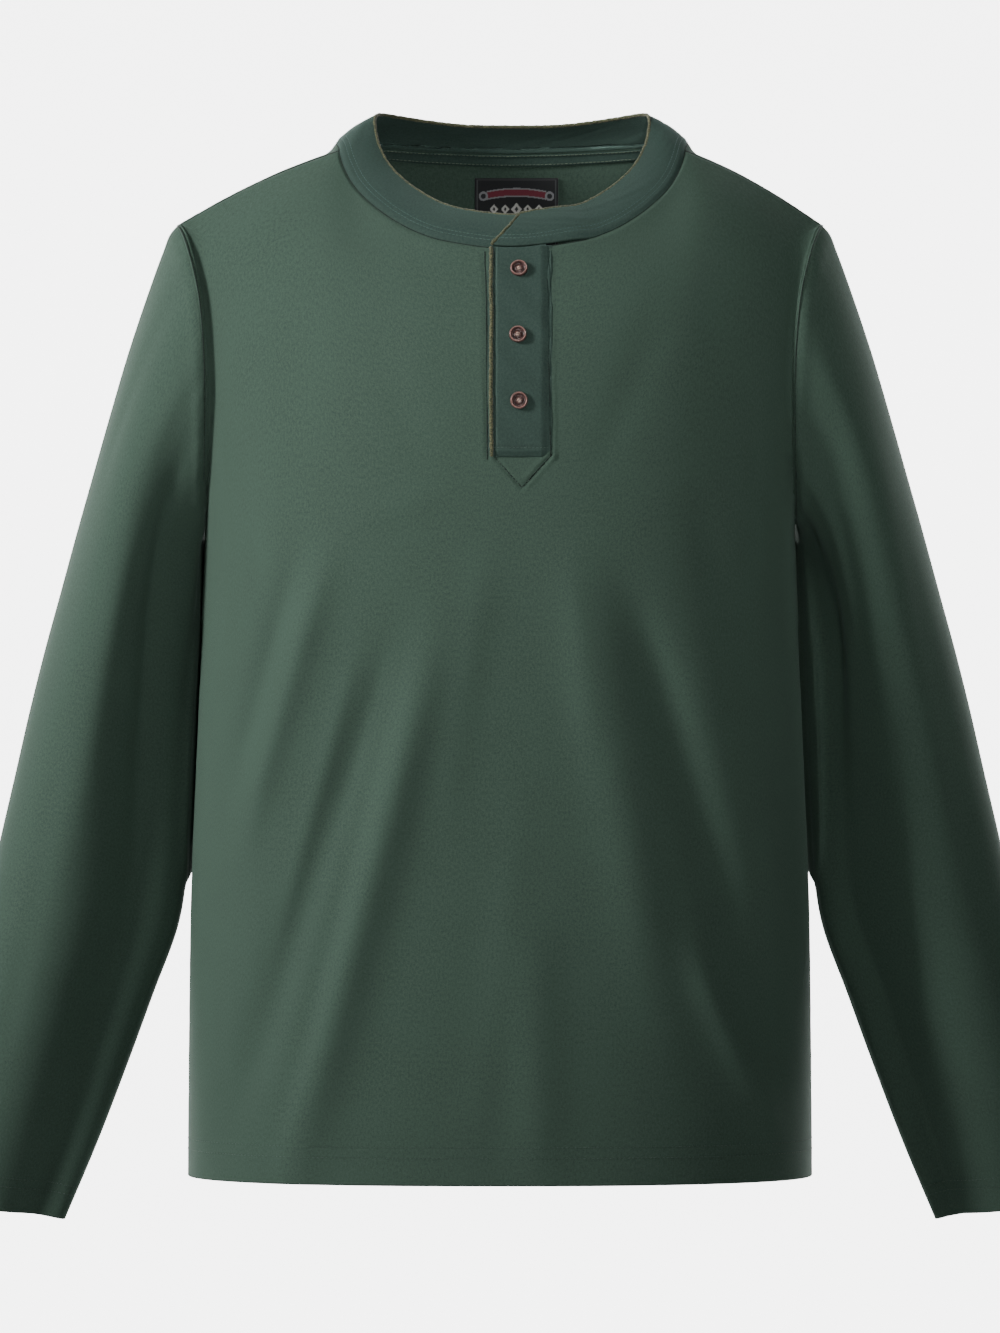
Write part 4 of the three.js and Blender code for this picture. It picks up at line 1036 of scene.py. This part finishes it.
under_across = np.linspace(PLACKET_RIGHT_X + 0.4, PLACKET_LEFT_X - 0.3, 40)
under_grid = laid_strip(under_across, PLACKET_FOOT_Z + 0.3, 0.9, 120, 0.5,
                        lambda x, z: -0.5 * smooth(-x, 6.8, 8.4))
pieces["placket_under"] = cloth("placket_under_cloth", under_grid, UNDER_STRIP, RIB)

OVER_LIFT = 2.3


def over_profile(x, z):
    """The upper strip: a dip beside its free edge, a soft seam on its other side, small waves."""
    dip = -0.9 * np.exp(-(((x - PLACKET_EDGE_X - 0.6) / 1.5) ** 2))
    seam = -2.0 * smooth(x, PLACKET_LEFT_X - 7, PLACKET_LEFT_X + 0.4)
    foot = -1.5 * (1 - smooth(z, PLACKET_FOOT_Z - 2.6, PLACKET_FOOT_Z + 1.4))
    press = -0.35 * np.exp(-(((z - PLACKET_FOOT_Z - 3.2) / 0.8) ** 2))
    waves = 0.22 * np.sin(z / 9.0 + 0.11 * x) + 0.15 * np.sin(z / 4.1 + x * 0.3)
    near_buttons = sum(0.35 * np.exp(-(((x - bx) ** 2 + (z - bz) ** 2) / 90)) for bx, bz in BUTTON_PLACES)
    return dip + seam + foot + press + waves - near_buttons


BUTTON_PLACES = [(12.4, -90.5), (11.6, -134.2), (12.4, -177.2)]
over_across = np.unique(np.concatenate([
    np.linspace(PLACKET_EDGE_X, PLACKET_LEFT_X + 0.6, 46),
    np.linspace(PLACKET_LEFT_X - 2, PLACKET_LEFT_X + 0.6, 10),
    np.linspace(PLACKET_EDGE_X, PLACKET_EDGE_X + 4, 12)]))
over_grid = laid_strip(over_across, PLACKET_FOOT_Z - 2.5, 0.9, 190, OVER_LIFT, over_profile)
pieces["placket_over"] = cloth("placket_over_cloth", over_grid, OVER_STRIP, RIB)

# %% [markdown]
# The roll along the neck starts at the under end, follows the band's top edge round the neck, and
# turns down the cut upper end. Another follows the free edge of the placket. The tubes are swept with
# a radius that wanders, so the edge looks torn and rolled, not like a cord.

# %% Sweep a rolled edge
ROLL_RADIUS = 1.15


def sweep(name, path, out, radius, material, sides=10, seed=5):
    """A tube along a path, whose radius wanders along and round it."""
    path, out = np.asarray(path), np.asarray(out)
    tangent = np.gradient(path, axis=0)
    tangent /= np.linalg.norm(tangent, axis=1, keepdims=True)
    first = out - (out * tangent).sum(axis=1, keepdims=True) * tangent
    first /= np.linalg.norm(first, axis=1, keepdims=True)
    second = np.cross(tangent, first)
    length = np.concatenate([[0], np.cumsum(np.linalg.norm(np.diff(path, axis=0), axis=1))])
    points = []
    for k in range(sides):
        angle = 2 * math.pi * k / sides
        wander = 1 + 0.16 * ripple(length, seed + k // 2, 7) + 0.1 * ripple(length, seed + 40 + k, 2.6)
        out = first * math.cos(angle) + second * math.sin(angle)
        points.append(path + out * (radius * wander)[:, None])
    points = np.stack(points, axis=1)
    count = len(path)
    faces = [[j + k, j + (k + 1) % sides, j + sides + (k + 1) % sides, j + sides + k]
             for j in range(0, (count - 1) * sides, sides) for k in range(sides)]
    start, end = count * sides, count * sides + 1
    faces += [[start, (k + 1) % sides, k] for k in range(sides)]
    faces += [[end, (count - 1) * sides + k, (count - 1) * sides + (k + 1) % sides] for k in range(sides)]
    everything = np.concatenate([points.reshape(-1, 3), [path[0] - tangent[0] * radius[0] * 0.4],
                                 [path[-1] + tangent[-1] * radius[-1] * 0.4]])
    piece = link(name, mesh_of(name, everything, faces), material)
    print(name, "has", len(faces), "faces,", round(float(length[-1])), "mm long")
    return piece


def neck_roll():
    top, normals = band[-1][::-1], normals_of(band, False)[-1][::-1]
    rise = (band[-1] - band[-3])[::-1]
    rise /= np.linalg.norm(rise, axis=1, keepdims=True)
    path = top - normals * BAND * 0.45 + rise * 0.7
    cut, cut_normals = band[:, 0][::-1], normals_of(band, False)[:, 0][::-1]
    beyond = (band[:, 0] - band[:, 2])[::-1]
    beyond /= np.linalg.norm(beyond, axis=1, keepdims=True)
    down = cut - cut_normals * BAND * 0.35 + beyond * 0.8
    joined = np.concatenate([path[:-4], down[2:]])
    out = np.concatenate([normals[:-4], cut_normals[2:]])
    count = len(joined)
    fine = np.linspace(0, count - 1, count * 3)
    return catmull(joined, fine, False), catmull(out, fine, False)


neck_path, neck_out = neck_roll()
pieces["edge_roll_neck"] = sweep("edge_roll_neck_cloth", neck_path, neck_out,
                                 np.full(len(neck_path), ROLL_RADIUS), ROLLED)
edge = over_grid[::-1, 0]
edge_out = normals_of(over_grid, False)[::-1, 0]
fine = np.linspace(0, len(edge) - 1, 420)
placket_path = catmull(edge, fine, False) + np.array([-1.2, -0.35, 0])
placket_path[:, 0] += 0.35 * ripple(fine, 77, 60)
pieces["edge_roll_placket"] = sweep("edge_roll_placket_cloth", placket_path, catmull(edge_out, fine, False),
                                    np.full(420, 1.25), ROLLED, seed=60)

# %% [markdown]
# ## Back neck tape and label
# A narrow tape covers the back neck seam inside, and a small woven label hangs below it. Both lie on
# the inside of the back. The label is dark, with a plain woven border, a curved red band between
# grey lines, and a row of pale diamonds; its design is a generic one.

# %% Tape and label
TAPE_WIDTH = 9
TAPE_COLUMNS = 5
LABEL_LEFT, LABEL_RIGHT, LABEL_TOP, LABEL_FOOT = -16.8, 39, -21, -69


def tape_grid():
    """A strip just under the neck seam, on the inside of the back."""
    count = columns_of(BACK)
    wanted = (back_columns >= count - TAPE_COLUMNS) & (back_columns <= count + TAPE_COLUMNS)
    up = arc_lengths(back_grid, 0)
    drop = up[-1][None] - up
    inward = -normals_of(back_grid, False)
    rows = []
    for below in np.linspace(TAPE_WIDTH + 0.8, 0.8, 10):
        row = []
        for i in np.flatnonzero(wanted)[::-1]:
            point = [np.interp(-below, -drop[:, i], back_grid[:, i, axis]) for axis in range(3)]
            away = [np.interp(-below, -drop[:, i], inward[:, i, axis]) for axis in range(3)]
            row.append(np.array(point) + np.array(away) * (CLOTH + 1.5 + 0.12 * math.sin(i * 0.9)))
        rows.append(row)
    return np.array(rows)


tape = tape_grid()
pieces["neck_tape"] = cloth("neck_tape_cloth", tape, TAPE, RIB)

label_across = np.linspace(LABEL_LEFT, LABEL_RIGHT, 140)
label_heights = np.linspace(LABEL_FOOT, LABEL_TOP, 120)[:, None].repeat(140, 1)
label_grid = hits(back_surface, 0, label_across, label_heights)
for _ in range(12):
    label_grid[:, 1:-1] = (label_grid[:, 1:-1] * 2 + label_grid[:, :-2] + label_grid[:, 2:]) / 4
label_grid = label_grid + normals_of(label_grid, False) * 1.3


# %% Label's woven design
def label_design(across, down, wide, tall):
    """Colour at a place of the label, by how far it is across and down from its top left corner."""
    edge_gap = np.minimum(np.minimum(across, wide - across), np.minimum(down, tall - down))
    shade = np.zeros(across.shape + (3,)) + colour(20, 22, 24)[:3]
    grey, red, pale = colour(126, 128, 130)[:3], colour(104, 34, 48)[:3], colour(178, 178, 172)[:3]
    centre = (across - wide / 2) / wide
    arc = down - (9.5 + 16 * centre**2)
    inside = np.abs(centre) < 0.36
    paint = [
        ((edge_gap > 1.2) & (edge_gap < 1.7), colour(64, 66, 68)[:3]),
        ((np.abs(arc) < 2.9) & inside, grey),
        ((np.abs(arc) < 2.0) & inside, red),
        ((np.hypot(np.abs(centre) * wide - 0.4 * wide, down - 12) < 3.1), grey),
        ((np.hypot(np.abs(centre) * wide - 0.4 * wide, down - 12) < 1.7), colour(30, 32, 34)[:3]),
    ]
    for k in range(-2, 3):
        size = 3.2 if k else 4.2
        diamond = np.abs(centre * wide - k * 7.6) * 1.15 + np.abs(down - 20.5)
        paint.append((diamond < size, pale))
        paint.append((diamond < size * 0.4, colour(30, 32, 34)[:3]))
    paint.append(((np.abs(down - 30) < 0.6) & (np.abs(centre) < 0.3), grey))
    for where, tone in paint:
        shade[where] = tone
    return shade


label_material, label_tree, label_shader = new_material("woven_label", 0.7, 0.2, 0.5, (1, 1, 1, 1), 0.3)
design = node(label_tree, "ShaderNodeAttribute", attribute_name="design")
weave = node(label_tree, "ShaderNodeTexWave", {"Vector": flat_places(label_tree, 1, 1), "Scale": 0.8,
                                               "Distortion": 0.6},
             wave_type="BANDS", bands_direction="DIAGONAL").outputs["Fac"]
woven = ramp(label_tree, weave, -1.2, 1.0)
label_tree.links.new(mix_colour(label_tree, woven, colour(14, 15, 16), design.outputs["Color"]),
                     label_shader.inputs["Base Color"])
press(label_tree, label_shader, weave, 0.4, 0.1)
pieces["label"] = cloth("label_cloth", label_grid, LABEL, label_material)
label_mesh = pieces["label"].data
label_places = np.array([v.co[:] for v in label_mesh.vertices]) / MM
tones = label_design(label_places[:, 0] - LABEL_LEFT, LABEL_TOP - label_places[:, 2],
                     LABEL_RIGHT - LABEL_LEFT, LABEL_TOP - LABEL_FOOT)
painted = label_mesh.color_attributes.new("design", "FLOAT_COLOR", "POINT")
tones = np.concatenate([tones, np.ones((len(tones), 1))], axis=1)
painted.data.foreach_set("color", tones.astype(np.float32).ravel())

# %% [markdown]
# ## Buttons
# The buttons are small horn discs with a raised rim and four holes. Each is a lathed form made as a
# fine polar grid, because the holes then press into it without any cutting. Four short bars of thread
# lie across its middle.

# %% Button form
BUTTON_RADIUS = 5.8
BUTTON_HEIGHT = 2.8
BUTTON_PROFILE = Table("radius height", [
    (0, 0.62), (0.2, 0.62), (0.38, 0.54), (0.54, 0.3), (0.66, 0.36),
    (0.76, 0.84), (0.84, 1.0), (0.93, 0.9), (1.0, 0.5),
])


def button_points(sides=72, rings=44):
    """Top side by a polar grid with four holes, then the rounded underside."""
    points, faces = [], []
    radii = np.linspace(0.02, 1, rings)
    for radius in radii:
        angle = np.arange(sides) * 2 * math.pi / sides
        x, y = radius * np.cos(angle) * BUTTON_RADIUS, radius * np.sin(angle) * BUTTON_RADIUS
        height = np.full(sides, float(BUTTON_PROFILE.read("height", radius, "radius"))) * BUTTON_HEIGHT
        for hx, hy in ((0.9, 0.9), (-0.9, 0.9), (0.9, -0.9), (-0.9, -0.9)):
            height -= 1.1 * smooth(-np.hypot(x - hx, y - hy), -0.62, -0.42)
        points.append(np.stack([x, y, height], axis=1))
    for radius, height in ((0.95, 0.22), (0.8, 0.05), (0.5, 0.0), (0.02, 0.0)):
        angle = np.arange(sides) * 2 * math.pi / sides
        ring = np.stack([np.cos(angle) * radius * BUTTON_RADIUS, np.sin(angle) * radius * BUTTON_RADIUS,
                         np.full(sides, height * BUTTON_HEIGHT)], axis=1)
        points.append(ring)
    count = len(points)
    for j in range(count - 1):
        for k in range(sides):
            m = (k + 1) % sides
            faces.append([j * sides + m, j * sides + k, (j + 1) * sides + k, (j + 1) * sides + m])
    faces.append([k for k in range(sides)])
    faces.append([(count - 1) * sides + k for k in reversed(range(sides))])
    return np.concatenate(points), faces


def horn_material():
    """Brown horn with reddish and darker clouds, made lighter on its raised rim and raised middle."""
    material, tree, shader = new_material("horn", 0.34, 0, 0.5, (1, 1, 1, 1), 0.5)
    clouds = noise(tree, node(tree, "ShaderNodeTexCoord").outputs["Object"], 420, 5)
    body = mix_colour(tree, ramp(tree, clouds, 0.35, 0.7), colour(36, 22, 22), colour(78, 50, 46))
    # The raised tops take a lighter brown.
    raised_tone = node(tree, "ShaderNodeAttribute", attribute_name="raised_tone").outputs["Fac"]
    tree.links.new(mix_colour(tree, raised_tone, body, colour(132, 98, 90)), shader.inputs["Base Color"])
    press(tree, shader, clouds, 0.3, 0.15)
    return material


HORN = horn_material()
BAR_LENGTH, BAR_RADIUS, BAR_HEIGHT = 2.7, 0.3, 2.05
BAR_OFFSETS = (-0.9, -0.45, 0.45, 0.9)
BUTTON_TURNS = (0.35, -0.2, 0.9)
BUTTON_SEAT = 0.25
over_surface = tree_of(pieces["placket_over"])
button_shape, button_faces = button_points()
button_radius = np.hypot(button_shape[:, 0], button_shape[:, 1]) / BUTTON_RADIUS
# The raised rim and the raised middle of the top are made lighter.
button_raised_tone = np.exp(-(((button_radius - 0.85) / 0.08) ** 2)) * (button_shape[:, 2] > 1.2) * 0.85
button_raised_tone += 0.35 * np.exp(-((button_radius / 0.3) ** 2)) * (button_shape[:, 2] > 1.2)


def bar_points(length, radius, height, offset, sides=8, rings=9):
    """A short bar of thread, arched over the middle of the button."""
    points, faces = [], []
    for t in np.linspace(-1, 1, rings):
        swell = radius * math.sqrt(max(1 - abs(t) ** 6, 0.05))
        for k in range(sides):
            angle = 2 * math.pi * k / sides
            points.append((t * length / 2, offset + swell * math.cos(angle),
                           height - 0.55 * t * t + swell * math.sin(angle)))
    for j in range(rings - 1):
        for k in range(sides):
            m = (k + 1) % sides
            faces.append([(j + 1) * sides + k, (j + 1) * sides + m, j * sides + m, j * sides + k])
    faces.append(list(range(sides)))
    faces.append([(rings - 1) * sides + k for k in reversed(range(sides))])
    return np.array(points), faces


for number, ((bx, bz), turned_by) in enumerate(zip(BUTTON_PLACES, BUTTON_TURNS), start=1):
    hit, direction, _, _ = over_surface.ray_cast(Vector((bx, -300, bz)) * MM, Vector((0, 1, 0)))
    axis = np.array(direction)
    side_way = np.cross((0, 0, 1), axis)
    side_way /= np.linalg.norm(side_way)
    up_way = np.cross(axis, side_way)
    frame_of = np.stack([side_way * math.cos(turned_by) + up_way * math.sin(turned_by),
                         -side_way * math.sin(turned_by) + up_way * math.cos(turned_by), axis])
    seat = np.array(hit) / MM + axis * BUTTON_SEAT
    mesh = mesh_of(f"button_{number}", button_shape @ frame_of + seat, button_faces)
    raised_tone_layer = mesh.attributes.new("raised_tone", "FLOAT", "POINT")
    raised_tone_layer.data.foreach_set("value", button_raised_tone.astype(np.float32))
    pieces[f"button_{number}"] = link(f"button_{number}_horn", mesh, HORN)
    bars = [bar_points(BAR_LENGTH, BAR_RADIUS, BAR_HEIGHT, offset) for offset in BAR_OFFSETS]
    points = np.concatenate([b[0] for b in bars]) @ frame_of + seat
    faces, base = [], 0
    for b in bars:
        faces += [[v + base for v in face] for face in b[1]]
        base += len(b[0])
    thread_name = f"button_{number}_thread"
    pieces[thread_name] = link(thread_name, mesh_of("thread", points, faces), BUTTON_THREAD)
print("button has", len(button_faces), "faces")

# %% [markdown]
# ## Stitches
# Hem and cuffs are turned up and held by two rows of stitches, the tape by two, and the placket by
# lines at its foot, down its seam and round its point. A darker and thicker thread also runs along
# the neck, shoulder and armhole seams and the placket's lines; it stands for their stitches, and its
# dark tone is painted shade for the shadow in these seams. A row is one short thread repeated along a
# path, so Geometry Nodes lay them: the path is read at even steps and each step gets a small capsule
# turned along the path.

# %% Stitch tree
def stitch_tree():
    tree = bpy.data.node_groups.new("stitches", "GeometryNodeTree")
    face = tree.interface
    face.new_socket(name="Path", in_out="INPUT", socket_type="NodeSocketGeometry")
    for name, value in (("Pitch", 0.003), ("Stitch Length", 0.0022), ("Thread Radius", 0.0003)):
        face.new_socket(name=name, in_out="INPUT", socket_type="NodeSocketFloat").default_value = value
    face.new_socket(name="Seed", in_out="INPUT", socket_type="NodeSocketInt").default_value = 4
    face.new_socket(name="Thread", in_out="INPUT", socket_type="NodeSocketMaterial")
    face.new_socket(name="Stitches", in_out="OUTPUT", socket_type="NodeSocketGeometry")
    given = node(tree, "NodeGroupInput").outputs
    curve = node(tree, "GeometryNodeMeshToCurve", {"Mesh": given["Path"]})
    even = node(tree, "GeometryNodeResampleCurve",
                {"Curve": curve.outputs["Curve"], "Length": given["Pitch"]}, mode="LENGTH")
    ball = node(tree, "GeometryNodeMeshUVSphere", {"Segments": 8, "Rings": 6, "Radius": 1})
    half = node(tree, "ShaderNodeMath", {0: given["Stitch Length"], 1: 0.5}, operation="MULTIPLY")
    size = node(tree, "ShaderNodeCombineXYZ", {"X": given["Thread Radius"], "Y": given["Thread Radius"],
                                               "Z": half.outputs[0]})
    capsule = node(tree, "GeometryNodeTransform",
                   {"Geometry": ball.outputs["Mesh"], "Scale": size.outputs[0]})
    tangent = node(tree, "GeometryNodeInputTangent")
    turn = node(tree, "FunctionNodeAlignRotationToVector", {"Vector": tangent.outputs[0]}, axis="Z")
    uneven = node(tree, "FunctionNodeRandomValue", {2: 0.82, 3: 1.12, "Seed": given["Seed"]},
                  data_type="FLOAT")
    laid = node(tree, "GeometryNodeInstanceOnPoints", {
        "Points": even.outputs["Curve"], "Instance": capsule.outputs[0],
        "Rotation": turn.outputs[0], "Scale": uneven.outputs[1]})
    real = node(tree, "GeometryNodeRealizeInstances", {0: laid.outputs[0]})
    dressed = node(tree, "GeometryNodeSetMaterial",
                   {"Geometry": real.outputs[0], "Material": given["Thread"]})
    node(tree, "NodeGroupOutput", {0: dressed.outputs[0]})
    return tree


STITCHES = stitch_tree()


def stitch(name, paths, pitch, length, radius, material):
    """Lays stitches along paths in millimetres, and returns them as a plain mesh."""
    points, edges = [], []
    for path in paths:
        base = len(points)
        points += [tuple(p) for p in np.asarray(path) * MM]
        edges += [(base + n, base + n + 1) for n in range(len(path) - 1)]
    line = bpy.data.meshes.new(name)
    line.from_pydata(points, edges, [])
    holder = bpy.data.objects.new(name, line)
    bpy.context.scene.collection.objects.link(holder)
    modifier = holder.modifiers.new("stitches", "NODES")
    modifier.node_group = STITCHES
    values = {"Pitch": pitch * MM, "Stitch Length": length * MM, "Thread Radius": radius * MM,
              "Thread": material}
    for socket in STITCHES.interface.items_tree:
        if socket.name in values and socket.in_out == "INPUT":
            modifier[socket.identifier] = values[socket.name]
    evaluated = holder.evaluated_get(bpy.context.evaluated_depsgraph_get())
    mesh = bpy.data.meshes.new_from_object(evaluated)
    holder.modifiers.remove(modifier)
    holder.data = mesh
    mesh.shade_smooth()
    print(name, "has", len(mesh.polygons), "faces")
    return holder


# %% Rows of stitches
STITCH_LIFT = 0.05
STITCH_STEP = 0.8


def row_on(grid, above, closed=False):
    """A path on a grid's outer side, a given way above its lowest row."""
    up = arc_lengths(grid, 0)
    raised = grid + normals_of(grid, closed) * STITCH_LIFT
    row = np.array([[np.interp(above, up[:, i], raised[:, i, axis]) for axis in range(3)]
                    for i in range(grid.shape[1])])
    if closed:
        return np.concatenate([row, row[:1]])
    return row


def line_on(surface, corners, lift):
    """A path on a surface below a bent line of the front view."""
    path = []
    for (ax, az), (bx, bz) in zip(corners, corners[1:]):
        count = max(int(math.hypot(bx - ax, bz - az) / STITCH_STEP), 2)
        for t in np.linspace(0, 1, count, endpoint=False):
            path.append((ax + (bx - ax) * t, az + (bz - az) * t))
    path.append(corners[-1])
    found = [surface.ray_cast(Vector((x, -300, z)) * MM, Vector((0, 1, 0))) for x, z in path]
    return [np.array(hit) / MM + np.array(out) * lift for hit, out, _, _ in found if hit]


HEM_ROWS = (17.5, 24.5)
CUFF_ROWS = (16.5, 22.5)
TAPE_ROWS = (1.2, TAPE_WIDTH - 1.0)
pieces["front_stitches"] = stitch("front_stitches", [row_on(front_grid, above) for above in HEM_ROWS]
                                  + [line_on(front_surface, POINT_LINE, 0.35)], 2.9, 2.0, 0.2, THREAD)
# The seam thread is darker than the jersey and its stitches overlap into one line: painted shade for the
# shadow that lies in the neck, shoulder, armhole and placket seams.
SEAM_SHADE_THREAD = noisy("seam_shade_thread", colour(20, 30, 25), colour(30, 42, 36), 900, 0.9, 0.05, 0.1)
SEAM_ENDS = slice(4, -4)  # the thread stops a little before the underarm points
pieces["front_seam_shade_thread"] = stitch("front_seam_shade_thread", [
    front_grid[-1][SEAM_ENDS],
    line_on(front_surface, POINT_LINE, 0.1),
    line_on(front_surface, RIGHT_SEAM_LINE, 0.1),
    line_on(front_surface, [(x - 0.9, z) for x, z in LEFT_SEAM_LINE], 0.25)], 1.7, 2.6, 0.42, SEAM_SHADE_THREAD)
pieces["back_seam_shade_thread"] = stitch("back_seam_shade_thread", [back_grid[-1][SEAM_ENDS]], 1.7, 2.6, 0.42,
                                   SEAM_SHADE_THREAD)
pieces["back_stitches"] = stitch("back_stitches", [row_on(back_grid, above) for above in HEM_ROWS],
                                 2.9, 2.3, 0.26, THREAD)
for side, grid in (("left", left_sleeve_grid), ("right", right_sleeve_grid)):
    pieces[f"cuff_stitches_{side}"] = stitch(
        f"cuff_stitches_{side}", [row_on(grid, above, True) for above in CUFF_ROWS], 2.9, 2.3, 0.26, THREAD)
foot_line = [(PLACKET_EDGE_X + 1.2, PLACKET_FOOT_Z + 3.2), (PLACKET_LEFT_X + 0.6, PLACKET_FOOT_Z + 3.2)]
pieces["placket_stitches"] = stitch("placket_stitches", [line_on(over_surface, foot_line, 0.1)],
                                    2.5, 2.0, 0.24, THREAD)
pieces["tape_stitches"] = stitch("tape_stitches", [row_on(tape, above) for above in TAPE_ROWS],
                                 2.7, 2.2, 0.24, LIGHT_THREAD)
pieces["band_stitches"] = stitch("band_stitches", [row_on(band, above) for above in BAND_ROWS],
                                 2.6, 2.1, 0.2, BAND_THREAD)

# %% [markdown]
# ## What each piece is
# Every piece rides on the one body. Where a piece stands for a solid, that solid is hidden and the
# area of one side of the piece is printed.

# %% Tell the frame about the pieces
SLOTS = {"front": "jersey", "back": "jersey", "sleeve_left": "jersey", "sleeve_right": "jersey",
         "neckband": "band_jersey", "placket_over": "band_jersey", "placket_under": "band_jersey",
         "neck_tape": "band_jersey", "edge_roll_neck": "rolled_edge", "edge_roll_placket": "rolled_edge",
         "label": "woven_label", "button_1": "button", "button_2": "button", "button_3": "button"}
for name, piece in pieces.items():
    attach(piece, "root")
    if name in SLOTS:
        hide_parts(name)


def area_of(piece):
    """Area of one side of a piece in square metres."""
    return sum(p.area for p in piece.data.polygons) / 2


for name in SLOTS:
    print(name, "area of one side in m2:", round(area_of(pieces[name]), 5))

# %% [markdown]
# ## Stage
# The shirt was photographed on plain white in a soft light from the left. A pale floor lies far below
# and a white wall that glows a little stands far behind, so that neither throws much light on the
# cloth. The main lamp stands on the left, a weak one above in front, and a small one lights the neck.

# %% Floor and wall
def stage_material(name, glow):
    material, tree, shader = new_material(name, 0.9, 0, 0.5, (1, 1, 1, 1), 0.1)
    spots = noise(tree, node(tree, "ShaderNodeTexCoord").outputs["Object"], 3)
    tree.links.new(mix_colour(tree, ramp(tree, spots, 0, 1), colour(238, 238, 238), colour(246, 246, 246)),
                   shader.inputs["Base Color"])
    shader.inputs["Emission Color"].default_value = (1, 1, 1, 1)
    shader.inputs["Emission Strength"].default_value = glow
    return material


def stage_mesh(name, profile):
    """A sheet 40 m wide that follows a profile of depths and heights."""
    points = [(x, y, z) for y, z in profile for x in (-20, 20)]
    faces = [[2 * k, 2 * k + 1, 2 * k + 3, 2 * k + 2] for k in range(len(profile) - 1)]
    mesh = bpy.data.meshes.new(name)
    mesh.from_pydata(points, [], faces)
    mesh.shade_smooth()
    return mesh


FLOOR_Z, BEND_Y, BEND_RADIUS, WALL_TOP = -2.6, 11.0, 3.0, 14.0
bend = [(BEND_Y + BEND_RADIUS * math.sin(a), FLOOR_Z + BEND_RADIUS * (1 - math.cos(a)))
        for a in np.linspace(0, math.pi / 2, 14)]
ground = link("backdrop_floor", stage_mesh("backdrop_floor", [(-9, FLOOR_Z), bend[0]]),
              stage_material("pale_floor", 0))
wall = link("backdrop_wall", stage_mesh("backdrop_wall", bend + [(BEND_Y + BEND_RADIUS, WALL_TOP)]),
            stage_material("white_wall", 4.8))
print("stage: floor at", FLOOR_Z, "m, wall up to", WALL_TOP, "m")

# %% Lamps
def lamp(name, place, target, width, height, power, spread):
    light = bpy.data.lights.new(name, "AREA")
    light.shape = "RECTANGLE"
    light.size, light.size_y, light.energy = width, height, power
    light.spread = math.radians(spread)
    holder = bpy.data.objects.new(name, light)
    holder.location = place
    holder.rotation_euler = (Vector(target) - Vector(place)).to_track_quat("-Z", "Y").to_euler()
    bpy.context.scene.collection.objects.link(holder)


lamp("key", (-3.3, -1.5, 1.2), (0, 0, -0.3), 0.7, 1.0, 29, 60)
lamp("front", (0.5, -3.0, 2.6), (0, 0, -0.3), 0.8, 0.8, 3.6, 60)
lamp("neck", (0.3, -4.2, 0.0), (0.02, 0, 0.0), 0.4, 0.4, 1.3, 22)
world = bpy.data.worlds.new("world")
world.use_nodes = True
world.node_tree.nodes["Background"].inputs["Color"].default_value = (1, 1, 1, 1)
world.node_tree.nodes["Background"].inputs["Strength"].default_value = 0.045
bpy.context.scene.world = world
